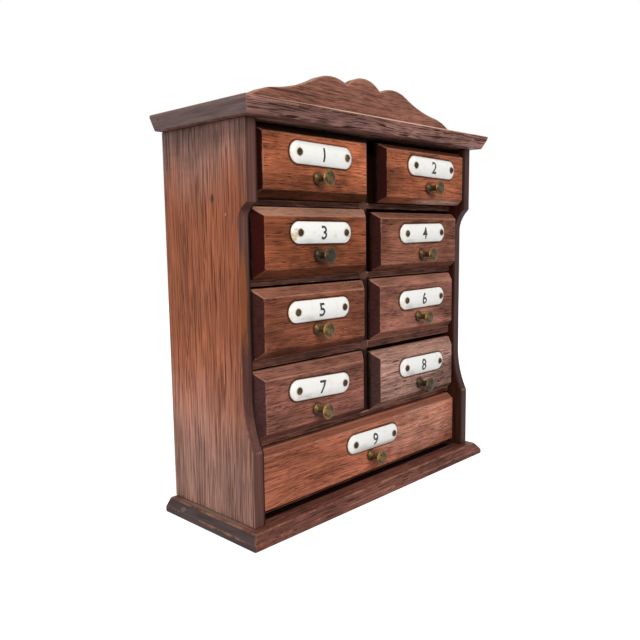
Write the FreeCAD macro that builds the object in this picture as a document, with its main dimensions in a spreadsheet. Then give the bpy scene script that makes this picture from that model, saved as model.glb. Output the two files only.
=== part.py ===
"""Spice drawer cabinet: a table-top chest of eight small drawers in two columns over one wide drawer.

All sizes are millimetres. X runs to the right, Y to the back, Z up. The origin is the middle of the
base board's underside, where the cabinet stands.
"""

import FreeCAD, Part
import math
import os
import re

import Sketcher
from FreeCAD import Placement, Rotation, Vector

# ---------------------------------------------------------------------------------------------
# Driving dimensions. Each one can be changed by itself.
# ---------------------------------------------------------------------------------------------
SIZES = {
    # carcass
    "body_width": 250.0,
    "body_depth": 88.7,
    "side_thick": 9.2,
    "back_thick": 4.0,
    "back_rebate": 4.5,
    "floor_thick": 5.0,
    "divider_thick": 7.7,
    "shelf_setback": 14.0,
    # height of the sides, each small row's share of the height that is left for drawers, and the shelves,
    # from the top down. The wide row has the rest.
    "side_height": 258.5,
    "first_row_share": 0.2038,
    "first_shelf_thick": 4.1,
    "second_row_share": 0.2013,
    "second_shelf_thick": 4.7,
    "third_row_share": 0.2051,
    "third_shelf_thick": 5.9,
    "fourth_row_share": 0.2089,
    "wide_shelf_thick": 3.8,
    # curved cut-out along the front edge of each side
    "side_recess": 8.9,
    "nose_length": 50.7,
    "nose_curve_length": 30.0,
    "foot_length": 49.3,
    "foot_curve_length": 37.0,
    # base board
    "base_thick": 9.7,
    "base_side_step": 9.1,
    "base_front_step": 10.3,
    "base_bevel_run": 4.5,
    "base_bevel_drop": 5.7,
    # top board
    "top_thick": 10.3,
    "top_side_step": 9.1,
    "top_front_step": 11.9,
    "top_bevel_run": 3.7,
    "top_bevel_drop": 8.4,
    # crest board
    "crest_thick": 7.0,
    "crest_setback": 24.1,
    "crest_half_length": 112.0,
    "crest_height": 31.6,
    "crest_end_height": 5.2,
    "notch_offset": 18.5,
    "notch_height": 24.6,
    "lobe_offset": 34.4,
    "lobe_radius": 38.0,
    "valley_radius": 123.0,
    "shoulder_offset": 83.0,
    "shoulder_radius": 54.0,
    # drawer fronts
    "front_thick": 10.5,
    "front_side_gap": 0.95,
    "seat_gap": 0.3,
    "face_setback": 6.4,
    "front_bevel_depth": 7.0,
    "wide_front_side_gap": 1.9,
    "wide_face_setback": 7.4,
    "wide_bevel_depth": 5.0,
    # drawer boxes
    "box_inset": 0.6,
    "box_headroom": 8.0,
    "box_board_thick": 4.5,
    "box_bottom_thick": 3.0,
    "box_back_gap": 0.3,
    # turned knobs
    "knob_collar_radius": 4.1,
    "knob_collar_thick": 1.9,
    "knob_neck_radius": 2.2,
    "knob_neck_end": 5.6,
    "knob_disc_radius": 5.7,
    "knob_disc_start": 10.5,
    "knob_rim_thick": 0.9,
    "knob_dome_rise": 0.9,
    "knob_stud_radius": 1.4,
    "knob_stud_length": 8.0,
    "knob_drop": 9.1,
    "wide_knob_drop": 7.6,
    # enamelled labels and their screws
    "label_length": 60.0,
    "label_width": 14.7,
    "label_rim_thick": 0.8,
    "label_crown": 2.2,
    "label_rise": 6.2,
    "wide_label_rise": 4.6,
    "screw_inset": 7.0,
    "screw_head_radius": 2.3,
    "screw_head_height": 1.0,
    "screw_shank_radius": 1.0,
    "screw_length": 8.3,
    # clearance round studs and shanks, on the radius
    "hole_clearance": 0.1,
}

# What differs from drawer to drawer, because each was planed, hung and labelled by hand: how far it
# stands open, the width of its front's bevel, the gap over it, how far the knob sits to the right of the
# front's middle and above its usual height, the same for the label, how much longer than usual the label
# is, and its tilt in degrees, positive where the right end is the lower one.
DRAWERS = {
    "drawer_1": {
        "open": 4.3, "bevel": 5.3, "headroom": 1.3, "knob": -1.4, "knob_lift": -0.3,
        "label": 2.7, "label_lift": 0.1, "label_extra": 0.1, "tilt": 1.2,
    },
    "drawer_2": {
        "open": 8.2, "bevel": 4.1, "headroom": 4.3, "knob": 1.8, "knob_lift": -0.5,
        "label": 5.6, "label_lift": 0.4, "label_extra": 2.2, "tilt": 1.3,
    },
    "drawer_3": {
        "open": 3.9, "bevel": 5.9, "headroom": 0.7, "knob": -0.9, "knob_lift": 0.1,
        "label": 2.3, "label_lift": 0.1, "label_extra": -1.1, "tilt": 0.3,
    },
    "drawer_4": {
        "open": 2.2, "bevel": 4.5, "headroom": 2.5, "knob": 1.5, "knob_lift": -1.6,
        "label": 2.1, "label_lift": 0.1, "label_extra": 0.3, "tilt": -0.9,
    },
    "drawer_5": {
        "open": 2.2, "bevel": 5.8, "headroom": 1.2, "knob": -1.1, "knob_lift": 2.2,
        "label": 1.2, "label_lift": 0.2, "label_extra": 0.2, "tilt": 0.1,
    },
    "drawer_6": {
        "open": 0.2, "bevel": 5.9, "headroom": 1.0, "knob": -0.2, "knob_lift": -0.4,
        "label": 4.8, "label_lift": -1.2, "label_extra": 1.0, "tilt": -0.6,
    },
    "drawer_7": {
        "open": 1.5, "bevel": 6.2, "headroom": 0.9, "knob": -1.9, "knob_lift": 0.1,
        "label": 1.7, "label_lift": 0.2, "label_extra": 0.1, "tilt": 2.4,
    },
    "drawer_8": {
        "open": 0.6, "bevel": 5.8, "headroom": 3.2, "knob": 1.4, "knob_lift": -0.4,
        "label": 4.2, "label_lift": -0.5, "label_extra": -0.3, "tilt": 0.4,
    },
    "drawer_9": {
        "open": 0.2, "bevel": 4.2, "headroom": 1.4, "knob": -0.5, "knob_lift": -0.3,
        "label": 2.3, "label_lift": -0.1, "label_extra": 0.1, "tilt": 1.0,
    },
}

# The row and the column (-1 left, 1 right, 0 both) that each drawer fills.
BAYS = {
    "drawer_1": ("first", -1),
    "drawer_2": ("first", 1),
    "drawer_3": ("second", -1),
    "drawer_4": ("second", 1),
    "drawer_5": ("third", -1),
    "drawer_6": ("third", 1),
    "drawer_7": ("fourth", -1),
    "drawer_8": ("fourth", 1),
    "drawer_9": ("wide", 0),
}

# ---------------------------------------------------------------------------------------------
# Places that follow from the driving dimensions.
# ---------------------------------------------------------------------------------------------
PLACES = {
    "base_width": "body_width + 2 * base_side_step",
    "base_depth": "body_depth + base_front_step",
    "sides_front": "base_front_step - base_depth / 2",
    "sides_back": "base_depth / 2",
    "inner_width": "body_width - 2 * side_thick",
    "half_opening": "(inner_width - divider_thick) / 2",
    "column_middle": "(half_opening + divider_thick) / 2",
    "shelf_front": "sides_front + shelf_setback",
    "back_inner": "sides_back - back_thick",
    "shelf_depth": "back_inner - shelf_front",
    "small_shelves": "first_shelf_thick + second_shelf_thick + third_shelf_thick",
    "rows_height": "side_height - floor_thick - wide_shelf_thick - small_shelves",
    "small_rows_share": "first_row_share + second_row_share + third_row_share + fourth_row_share",
    "first_row_height": "rows_height * first_row_share",
    "second_row_height": "rows_height * second_row_share",
    "third_row_height": "rows_height * third_row_share",
    "fourth_row_height": "rows_height * fourth_row_share",
    "wide_row_height": "rows_height * (1 - small_rows_share)",
    "wide_row_floor": "base_thick + floor_thick",
    "wide_shelf_floor": "wide_row_floor + wide_row_height",
    "fourth_row_floor": "wide_shelf_floor + wide_shelf_thick",
    "third_shelf_floor": "fourth_row_floor + fourth_row_height",
    "third_row_floor": "third_shelf_floor + third_shelf_thick",
    "second_shelf_floor": "third_row_floor + third_row_height",
    "second_row_floor": "second_shelf_floor + second_shelf_thick",
    "first_shelf_floor": "second_row_floor + second_row_height",
    "first_row_floor": "first_shelf_floor + first_shelf_thick",
    "sides_top": "base_thick + side_height",
    "top_front": "sides_front - top_front_step",
    "top_width": "body_width + 2 * top_side_step",
    "cabinet_top": "sides_top + top_thick",
    "label_thick": "label_rim_thick + label_crown",
    "stud_hole_radius": "knob_stud_radius + hole_clearance",
    "screw_hole_radius": "screw_shank_radius + hole_clearance",
}


def size(text):
    """Turn names of sizes and places in a formula into references to the sheet's cells."""

    def reference(match):
        name = match.group(0)
        if name in PLACES:
            return "(" + size(PLACES[name]) + ")"
        if name in CELLS:
            return "Sizes." + name
        return name

    return re.sub(r"[a-z][a-z_0-9]*", reference, str(text))


def value(text):
    """The number that a formula of sizes stands for."""
    number = sheet.evalExpression(size(text))
    return float(getattr(number, "Value", number))


# ---------------------------------------------------------------------------------------------
# Document and sheet
# ---------------------------------------------------------------------------------------------
CELLS = dict(SIZES)
for drawer, fitted in DRAWERS.items():
    for what, number in fitted.items():
        CELLS[f"{drawer}_{what}"] = number

doc = FreeCAD.newDocument("spice_drawer_cabinet")
sheet = doc.addObject("Spreadsheet::Sheet", "Sizes")
for row, (alias, number) in enumerate(CELLS.items(), start=1):
    sheet.set(f"A{row}", alias)
    sheet.set(f"B{row}", str(number))
    sheet.setAlias(f"B{row}", alias)
doc.recompute()


# ---------------------------------------------------------------------------------------------
# Helpers for bodies and sketches
# ---------------------------------------------------------------------------------------------
def new_body(label, x="0", y="0", z="0"):
    """An empty body whose origin stands at the given place."""
    body = doc.addObject("PartDesign::Body", label)
    body.Label = label
    place(body, x, y, z)
    return body


def place(piece, x, y, z):
    """Bind where a piece stands to the sheet."""
    for axis, text in zip("xyz", (x, y, z)):
        piece.setExpression("Placement.Base." + axis, size(text))


def new_sketch(body, name, plane, offset=None, shift=None):
    """A sketch on one of the body's own planes, moved along the plane's normal by offset and along the
    sketch's own first axis by shift."""
    sketch = body.newObject("Sketcher::SketchObject", name)
    support = next(f for f in body.Origin.OriginFeatures if f.Role == plane)
    sketch.AttachmentSupport = [(support, "")]
    sketch.MapMode = "FlatFace"
    if offset:
        sketch.setExpression("AttachmentOffset.Base.z", size(offset))
    if shift:
        sketch.setExpression("AttachmentOffset.Base.x", size(shift))
    return sketch


def dimension(sketch, kind, *where, formula):
    """A dimension of the sketch that follows a formula of sizes."""
    index = sketch.addConstraint(Sketcher.Constraint(kind, *where, value(formula)))
    sketch.setExpression(f"Constraints[{index}]", size(formula))


def arc_between(start, end, centre, turn):
    """The arc round a centre from start to end, anticlockwise for a turn of 1, clockwise for -1."""
    first = math.atan2(start.y - centre.y, start.x - centre.x)
    last = math.atan2(end.y - centre.y, end.x - centre.x)
    halfway = first + turn * ((turn * (last - first)) % (2 * math.pi)) / 2
    radius = start.distanceToPoint(centre)
    top = centre + Vector(math.cos(halfway), math.sin(halfway), 0) * radius
    return Part.Arc(start, top, end)


def arc_centre(start, end, axis, where):
    """The point as far from start as from end that has one coordinate given."""
    middle = (start + end) * 0.5
    chord = end - start
    if axis == "x":
        return Vector(where, middle.y - (where - middle.x) * chord.x / chord.y, 0)
    return Vector(middle.x - (where - middle.y) * chord.y / chord.x, where, 0)


def outline(sketch, corners):
    """A closed outline through corners (x, y). A corner (x, y, turn, axis, where) starts an arc instead
    of a straight edge, turning as in arc_between, with the centre's x or y at the place given."""
    points = [Vector(value(corner[0]), value(corner[1]), 0) for corner in corners]
    first = sketch.GeometryCount
    for index, corner in enumerate(corners):
        start = points[index]
        end = points[(index + 1) % len(points)]
        if len(corner) == 2:
            sketch.addGeometry(Part.LineSegment(start, end), False)
        else:
            turn, axis, where = corner[2:]
            centre = arc_centre(start, end, axis, value(where))
            sketch.addGeometry(arc_between(start, end, centre, turn), False)
    ends = [edge_ends(sketch, first + index, point) for index, point in enumerate(points)]
    for index in range(len(corners)):
        following = (index + 1) % len(corners)
        meeting = (first + index, ends[index][1], first + following, ends[following][0])
        sketch.addConstraint(Sketcher.Constraint("Coincident", *meeting))
    for index, corner in enumerate(corners):
        edge = first + index
        dimension(sketch, "DistanceX", -1, 1, edge, ends[index][0], formula=corner[0])
        dimension(sketch, "DistanceY", -1, 1, edge, ends[index][0], formula=corner[1])
        if len(corner) > 2:
            dimension(sketch, "Distance" + corner[3].upper(), -1, 1, edge, 3, formula=corner[4])


def edge_ends(sketch, edge, start):
    """Which end of an edge lies at start, and which at its other end. Arcs always run anticlockwise."""
    if sketch.getPoint(edge, 1).distanceToPoint(start) < 1e-6:
        return 1, 2
    return 2, 1


def rectangle(sketch, left, right, bottom, top):
    outline(sketch, [(left, bottom), (right, bottom), (right, top), (left, top)])


def circle(sketch, x, y, radius):
    """A circle whose centre and radius follow the sheet."""
    middle = Vector(value(x), value(y), 0)
    edge = sketch.addGeometry(Part.Circle(middle, Vector(0, 0, 1), value(radius)), False)
    dimension(sketch, "DistanceX", -1, 1, edge, 3, formula=x)
    dimension(sketch, "DistanceY", -1, 1, edge, 3, formula=y)
    dimension(sketch, "Radius", edge, formula=radius)


def pad(body, sketch, length, backwards=False):
    feature = body.newObject("PartDesign::Pad", "Pad")
    feature.Profile = sketch
    feature.setExpression("Length", size(length))
    feature.Reversed = backwards
    return feature


def pocket(body, sketch, depth, backwards=False):
    """A cut that must take something away."""
    doc.recompute()
    before = body.Shape.Volume
    feature = body.newObject("PartDesign::Pocket", "Pocket")
    feature.Profile = sketch
    feature.setExpression("Length", size(depth))
    feature.Reversed = backwards
    doc.recompute()
    if body.Shape.Volume > before - 1e-3:
        raise RuntimeError(f"{body.Label}: the pocket {feature.Name} cuts nothing")
    return feature


def loft(body, start, end):
    feature = body.newObject("PartDesign::AdditiveLoft", "Loft")
    feature.Profile = start
    feature.Sections = [end]
    feature.Ruled = True
    return feature


def revolve(body, sketch, axis="V_Axis", angle=360.0):
    """Turn a profile round one of the sketch's own axes."""
    feature = body.newObject("PartDesign::Revolution", "Revolution")
    feature.Profile = sketch
    feature.ReferenceAxis = (sketch, [axis])
    feature.Angle = angle
    return feature


def mirror(body, feature):
    """Repeat a feature on the other side of the body's own YZ plane."""
    other = body.newObject("PartDesign::Mirrored", "Mirrored")
    other.Originals = [feature]
    other.MirrorPlane = (next(f for f in body.Origin.OriginFeatures if f.Role == "YZ_Plane"), [""])
    body.Tip = other


def board(label, x, y, z, length, width, height):
    """A plain board, as a box from its lowest corner."""
    box = doc.addObject("Part::Box", label)
    box.Label = label
    for name, text in (("Length", length), ("Width", width), ("Height", height)):
        box.setExpression(name, size(text))
    place(box, x, y, z)
    return box


# ---------------------------------------------------------------------------------------------
# Carcass
# ---------------------------------------------------------------------------------------------
def base_board():
    """Board that everything stands on, with a bevel round the front and both ends."""
    body = new_body("base_board")
    edge = "base_thick - base_bevel_drop"
    low = new_sketch(body, "footprint", "XY_Plane")
    rectangle(low, "-base_width / 2", "base_width / 2", "-base_depth / 2", "base_depth / 2")
    pad(body, low, edge)
    wide = new_sketch(body, "bevel_foot", "XY_Plane", edge)
    rectangle(wide, "-base_width / 2", "base_width / 2", "-base_depth / 2", "base_depth / 2")
    narrow = new_sketch(body, "bevel_head", "XY_Plane", "base_thick")
    side = "(base_width / 2 - base_bevel_run)"
    rectangle(narrow, "-" + side, side, "-base_depth / 2 + base_bevel_run", "base_depth / 2")
    loft(body, wide, narrow)
    return body


def top_board():
    """Overhanging top whose front and ends are bevelled back towards the underside."""
    body = new_body("top_board", z="sides_top")
    wide = new_sketch(body, "edge_outline", "XY_Plane", "top_bevel_drop")
    rectangle(wide, "-top_width / 2", "top_width / 2", "top_front", "sides_back")
    pad(body, wide, "top_thick - top_bevel_drop")
    head = new_sketch(body, "bevel_head", "XY_Plane", "top_bevel_drop")
    rectangle(head, "-top_width / 2", "top_width / 2", "top_front", "sides_back")
    foot = new_sketch(body, "bevel_foot", "XY_Plane")
    side = "(top_width / 2 - top_bevel_run)"
    rectangle(foot, "-" + side, side, "top_front + top_bevel_run", "sides_back")
    loft(body, head, foot)
    return body


def side_panel(label, x, rebate_start):
    """Side with its front edge cut back in a long curve between a nose at the top and a foot."""
    body = new_body(label, x=x, y="sides_front", z="base_thick")
    profile = new_sketch(body, "profile", "YZ_Plane")
    nose_end = "(side_height - nose_length - nose_curve_length)"
    foot_end = "(foot_length + foot_curve_length)"
    outline(
        profile,
        [
            ("0", "0"),
            ("body_depth", "0"),
            ("body_depth", "side_height"),
            ("0", "side_height"),
            ("0", "side_height - nose_length", -1, "y", nose_end),
            ("side_recess", nose_end),
            ("side_recess", foot_end, -1, "y", foot_end),
            ("0", "foot_length"),
        ],
    )
    pad(body, profile, "side_thick")
    rebate = new_sketch(body, "back_rebate", "XY_Plane")
    rectangle(rebate, rebate_start, rebate_start + " + back_rebate", "body_depth - back_thick", "body_depth")
    pocket(body, rebate, "side_height", backwards=True)
    return body


def crest_board():
    """Shaped board that stands on the top: a middle lobe, a lobe each side, a long hollow and a round
    shoulder at each end. One half is drawn, and mirrored."""
    body = new_body("crest_board", y="top_front + crest_setback", z="cabinet_top")
    sketch = new_sketch(body, "half_outline", "XZ_Plane")
    origin = Vector(0, 0, 0)
    foot = Vector(value("crest_half_length"), 0, 0)
    end = Vector(foot.x, value("crest_end_height"), 0)
    notch = Vector(value("notch_offset"), value("notch_height"), 0)
    peak = Vector(0, value("crest_height"), 0)

    # The hollow's circle touches the circles of the lobe and of the shoulder from outside.
    lobe = centre_below(notch, value("lobe_offset"), value("lobe_radius"))
    shoulder = centre_below(end, value("shoulder_offset"), value("shoulder_radius"))
    to_lobe = value("lobe_radius + valley_radius")
    to_shoulder = value("shoulder_radius + valley_radius")
    gap = shoulder.distanceToPoint(lobe)
    along = (shoulder - lobe).normalize()
    across = Vector(-along.y, along.x, 0)
    reach = (to_lobe**2 - to_shoulder**2 + gap**2) / (2 * gap)
    valley = lobe + along * reach + across * math.sqrt(to_lobe**2 - reach**2)
    lobe_end = lobe + (valley - lobe) * (value("lobe_radius") / to_lobe)
    valley_end = shoulder + (valley - shoulder) * (value("shoulder_radius") / to_shoulder)

    sketch.addGeometry(
        [
            Part.LineSegment(origin, foot),
            Part.LineSegment(foot, end),
            arc_between(end, valley_end, shoulder, 1),
            arc_between(valley_end, lobe_end, valley, -1),
            arc_between(lobe_end, notch, lobe, 1),
            arc_between(notch, peak, arc_centre(notch, peak, "x", 0.0), 1),
            Part.LineSegment(peak, origin),
        ],
        False,
    )
    base, tip, shoulder_arc, valley_arc, lobe_arc, middle_arc, axis = range(7)
    for constraint in (
        ("Coincident", base, 1, -1, 1),
        ("Horizontal", base),
        ("Vertical", tip),
        ("Vertical", axis),
        ("Coincident", axis, 2, base, 1),
        ("Coincident", base, 2, tip, 1),
        ("Coincident", tip, 2, shoulder_arc, 1),
        ("Tangent", shoulder_arc, 2, valley_arc, 2),
        ("Tangent", valley_arc, 1, lobe_arc, 1),
        ("Coincident", lobe_arc, 2, middle_arc, 1),
        ("Coincident", middle_arc, 2, axis, 1),
        ("PointOnObject", middle_arc, 3, -2),
    ):
        sketch.addConstraint(Sketcher.Constraint(*constraint))
    dimension(sketch, "DistanceX", -1, 1, base, 2, formula="crest_half_length")
    dimension(sketch, "DistanceY", -1, 1, tip, 2, formula="crest_end_height")
    dimension(sketch, "DistanceX", -1, 1, shoulder_arc, 3, formula="shoulder_offset")
    dimension(sketch, "Radius", shoulder_arc, formula="shoulder_radius")
    dimension(sketch, "Radius", valley_arc, formula="valley_radius")
    dimension(sketch, "DistanceX", -1, 1, lobe_arc, 3, formula="lobe_offset")
    dimension(sketch, "Radius", lobe_arc, formula="lobe_radius")
    dimension(sketch, "DistanceX", -1, 1, lobe_arc, 2, formula="notch_offset")
    dimension(sketch, "DistanceY", -1, 1, lobe_arc, 2, formula="notch_height")
    dimension(sketch, "DistanceY", -1, 1, axis, 1, formula="crest_height")
    mirror(body, pad(body, sketch, "crest_thick", backwards=True))
    return body


def centre_below(point, x, radius):
    """The centre at x of a circle that passes over it through the point."""
    return Vector(x, point.y - math.sqrt(radius**2 - (x - point.x) ** 2), 0)


def carcass():
    """Every piece of the case that the drawers run in."""
    pieces = [
        base_board(),
        side_panel("left_side_panel", "-body_width / 2", "side_thick - back_rebate"),
        side_panel("right_side_panel", "body_width / 2 - side_thick", "0"),
        top_board(),
        crest_board(),
        board(
            "back_panel",
            "-inner_width / 2 - back_rebate", "back_inner", "base_thick",
            "inner_width + 2 * back_rebate", "back_thick", "side_height",
        ),
        board(
            "floor_board",
            "-inner_width / 2", "shelf_front", "base_thick",
            "inner_width", "shelf_depth", "floor_thick",
        ),
        board(
            "wide_shelf",
            "-inner_width / 2", "shelf_front", "wide_shelf_floor",
            "inner_width", "shelf_depth", "wide_shelf_thick",
        ),
        board(
            "centre_divider",
            "-divider_thick / 2", "shelf_front", "fourth_row_floor",
            "divider_thick", "shelf_depth", "sides_top - fourth_row_floor",
        ),
    ]
    for row in ("first", "second", "third"):
        for side, left in (("left", "-inner_width / 2"), ("right", "divider_thick / 2")):
            pieces.append(
                board(
                    f"{row}_shelf_{side}",
                    left, "shelf_front", f"{row}_shelf_floor",
                    "half_opening", "shelf_depth", f"{row}_shelf_thick",
                )
            )
    return pieces


# ---------------------------------------------------------------------------------------------
# Drawers
# ---------------------------------------------------------------------------------------------
class Drawer:
    """Where one drawer's pieces stand, as formulas of sizes."""

    def __init__(self, name):
        row, column = BAYS[name]
        wide = row == "wide"
        self.name = name
        self.wide = wide
        self.middle = f"({column} * column_middle)"
        self.setback = "wide_face_setback" if wide else "face_setback"
        self.face = f"(sides_front + {self.setback} - {name}_open)"
        self.bottom = f"({row}_row_floor + seat_gap)"
        self.height = f"({row}_row_height - seat_gap - {name}_headroom)"
        opening = "inner_width" if wide else "half_opening"
        gap = "wide_front_side_gap" if wide else "front_side_gap"
        self.width = f"({opening} - 2 * {gap})"
        self.bevel = f"{name}_bevel"
        rise = "wide_label_rise" if wide else "label_rise"
        drop = "wide_knob_drop" if wide else "knob_drop"
        self.label_x = f"{name}_label"
        self.label_z = f"({self.height} / 2 + {rise} + {name}_label_lift)"
        self.label_length = f"(label_length + {name}_label_extra)"
        self.screw_reach = f"({self.label_length} / 2 - screw_inset)"
        self.knob_x = f"{name}_knob"
        self.knob_z = f"({self.height} / 2 - {drop} + {name}_knob_lift)"


def screw_places(drawer):
    """The middles of the two label screws on the drawer's front, left one first."""
    aside = f"{drawer.screw_reach} * cos({drawer.name}_tilt)"
    fall = f"{drawer.screw_reach} * sin({drawer.name}_tilt)"
    return [
        (f"{drawer.label_x} - {aside}", f"{drawer.label_z} + {fall}"),
        (f"{drawer.label_x} + {aside}", f"{drawer.label_z} - {fall}"),
    ]


def drawer_front(drawer):
    """Thick front, bevelled all round on a small drawer and along its top edge on the wide one. It is
    bored for the knob's stud and the label's screws."""
    body = new_body(drawer.name + "_front", x=drawer.middle, y=drawer.face, z=drawer.bottom)
    half = drawer.width + " / 2"
    if drawer.wide:
        profile = new_sketch(body, "profile", "YZ_Plane", f"-{half}")
        outline(
            profile,
            [
                ("0", "0"),
                ("front_thick", "0"),
                ("front_thick", drawer.height),
                ("wide_bevel_depth", drawer.height),
                ("0", f"{drawer.height} - {drawer.bevel}"),
            ],
        )
        pad(body, profile, drawer.width)
    else:
        outer = new_sketch(body, "outer_edge", "XZ_Plane", "-front_bevel_depth")
        rectangle(outer, f"-{half}", half, "0", drawer.height)
        pad(body, outer, "front_thick - front_bevel_depth", backwards=True)
        rim = new_sketch(body, "bevel_foot", "XZ_Plane", "-front_bevel_depth")
        rectangle(rim, f"-{half}", half, "0", drawer.height)
        field = new_sketch(body, "raised_field", "XZ_Plane")
        run = drawer.bevel
        rectangle(field, f"{run} - {half}", f"{half} - {run}", run, f"{drawer.height} - {run}")
        loft(body, rim, field)
    stud = new_sketch(body, "stud_hole", "XZ_Plane")
    circle(stud, drawer.knob_x, drawer.knob_z, "stud_hole_radius")
    pocket(body, stud, "knob_stud_length + hole_clearance")
    pilots = new_sketch(body, "screw_holes", "XZ_Plane")
    for x, z in screw_places(drawer):
        circle(pilots, x, z, "screw_hole_radius")
    pocket(body, pilots, "screw_length - label_thick + hole_clearance")
    return body


def drawer_box(drawer):
    """Two sides and a back standing on a thin bottom: four separate boards."""
    inset = f"({drawer.width} / 2 - box_inset)"
    left = f"{drawer.middle} - {inset}"
    front = f"({drawer.face} + front_thick)"
    length = f"(body_depth - back_thick - box_back_gap - {drawer.setback} - front_thick)"
    width = f"(2 * {inset})"
    wall = f"({drawer.height} - box_headroom - box_bottom_thick)"
    floor = f"({drawer.bottom} + box_bottom_thick)"
    name = drawer.name
    boards = [
        board(name + "_bottom", left, front, drawer.bottom, width, length, "box_bottom_thick"),
        board(name + "_left", left, front, floor, "box_board_thick", length, wall),
        board(
            name + "_right",
            f"{drawer.middle} + {inset} - box_board_thick", front, floor,
            "box_board_thick", length, wall,
        ),
        board(
            name + "_back",
            f"{left} + box_board_thick", f"{front} + {length} - box_board_thick", floor,
            f"{width} - 2 * box_board_thick", "box_board_thick", wall,
        ),
    ]
    box = doc.addObject("Part::Compound", name + "_box")
    box.Label = name + "_box"
    box.Links = boards
    return box


def drawer_knob(drawer):
    """Turned knob: a collar against the wood, a waisted neck and a domed disc, on a plain stud."""
    body = new_body(drawer.name + "_knob", x=f"{drawer.middle} + {drawer.knob_x}", y=drawer.face)
    body.setExpression("Placement.Base.z", size(f"{drawer.bottom} + {drawer.knob_z}"))
    profile = new_sketch(body, "profile", "XY_Plane")
    rim = "(knob_disc_start + knob_rim_thick)"
    bead = "(knob_collar_radius - knob_collar_thick / 2)"
    outline(
        profile,
        [
            ("0", "knob_stud_length"),
            ("0", f"-{rim} - knob_dome_rise", 1, "x", "0"),
            ("knob_disc_radius", f"-{rim}"),
            ("knob_disc_radius", "-knob_disc_start", -1, "y", "-knob_neck_end"),
            ("knob_neck_radius", "-knob_neck_end"),
            ("knob_neck_radius", "-knob_collar_thick"),
            (bead, "-knob_collar_thick", 1, "x", bead),
            (bead, "0"),
            ("knob_stud_radius", "0"),
            ("knob_stud_radius", "knob_stud_length"),
        ],
    )
    revolve(body, profile)
    return body


def label_placement(piece, drawer):
    """Stand a label, or its screws, on the drawer's face at the label's own tilt."""
    place(
        piece,
        f"{drawer.middle} + {drawer.label_x}",
        drawer.face,
        f"{drawer.bottom} + {drawer.label_z}",
    )
    piece.Placement = Placement(piece.Placement.Base, Rotation(Vector(0, 1, 0), 1.0))
    piece.setExpression("Placement.Rotation.Angle", size(drawer.name + "_tilt"))


def drawer_label(drawer):
    """Enamelled plate with round ends, crowned like a shallow cushion, with a hole near each end."""
    body = new_body(drawer.name + "_label")
    label_placement(body, drawer)
    straight = f"({drawer.label_length} / 2 - label_width / 2)"
    edge = "(label_width / 2)"
    crown_centre = f"({edge} ^ 2 + label_crown ^ 2) / (2 * label_crown) - label_thick"
    section = new_sketch(body, "section", "YZ_Plane", f"-{straight}")
    outline(
        section,
        [
            ("0", f"-{edge}"),
            ("0", edge),
            ("-label_rim_thick", edge, 1, "x", crown_centre),
            ("-label_rim_thick", f"-{edge}"),
        ],
    )
    pad(body, section, f"2 * {straight}")
    half_section = new_sketch(body, "half_section", "YZ_Plane", straight)
    outline(
        half_section,
        [
            ("0", "0"),
            ("0", edge),
            ("-label_rim_thick", edge, 1, "y", "0"),
            ("-label_thick", "0"),
        ],
    )
    mirror(body, revolve(body, half_section, "H_Axis", 180.0))
    holes = new_sketch(body, "screw_holes", "XZ_Plane")
    for side in ("-", ""):
        circle(holes, side + drawer.screw_reach, "0", "screw_hole_radius")
    pocket(body, holes, "label_thick", backwards=True)
    return body


def label_screws(drawer):
    """The label's two round-headed screws, as two separate solids."""
    body = new_body(drawer.name + "_label_screws")
    body.AllowCompound = True
    label_placement(body, drawer)
    profile = new_sketch(body, "profile", "XY_Plane", shift=drawer.screw_reach)
    outline(
        profile,
        [
            ("0", "screw_length - label_thick"),
            ("0", "-label_thick - screw_head_height", 1, "x", "0"),
            ("screw_head_radius", "-label_thick"),
            ("screw_shank_radius", "-label_thick"),
            ("screw_shank_radius", "screw_length - label_thick"),
        ],
    )
    mirror(body, revolve(body, profile))
    return body


def drawers():
    """All the pieces of all the drawers."""
    pieces = []
    for name in DRAWERS:
        drawer = Drawer(name)
        pieces.append(drawer_front(drawer))
        pieces.append(drawer_box(drawer))
        pieces.append(drawer_knob(drawer))
        pieces.append(drawer_label(drawer))
        pieces.append(label_screws(drawer))
    return pieces


# ---------------------------------------------------------------------------------------------
# Build, check and write
# ---------------------------------------------------------------------------------------------
def check(pieces):
    for item in doc.Objects:
        if "Invalid" in item.State or "Error" in item.State:
            raise RuntimeError(f"{item.Label} failed: {item.State}")
    for piece in pieces:
        if piece.Shape.isNull() or not piece.Shape.isValid() or not piece.Shape.Solids:
            raise RuntimeError(f"{piece.Label} has no valid solid")


pieces = carcass() + drawers()
doc.recompute()
check(pieces)
os.makedirs("parts", exist_ok=True)
for piece in pieces:
    piece.Shape.exportStep(f"parts/{piece.Label}.step")
print(len(pieces), "pieces")
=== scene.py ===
"""Spice drawer cabinet: the finish of every board, knob, label and screw, laid over the CAD frame.

Everything is in metres, in the frame's own axes: X to the right, Y to the back, Z up, with the origin
under the middle of the base board. Each piece stands where its CAD node stands and rides on its body.
"""

import math
from dataclasses import dataclass

import bmesh
import bpy
from bpy.props import FloatProperty, FloatVectorProperty, PointerProperty
from mathutils import Matrix, Vector


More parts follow.
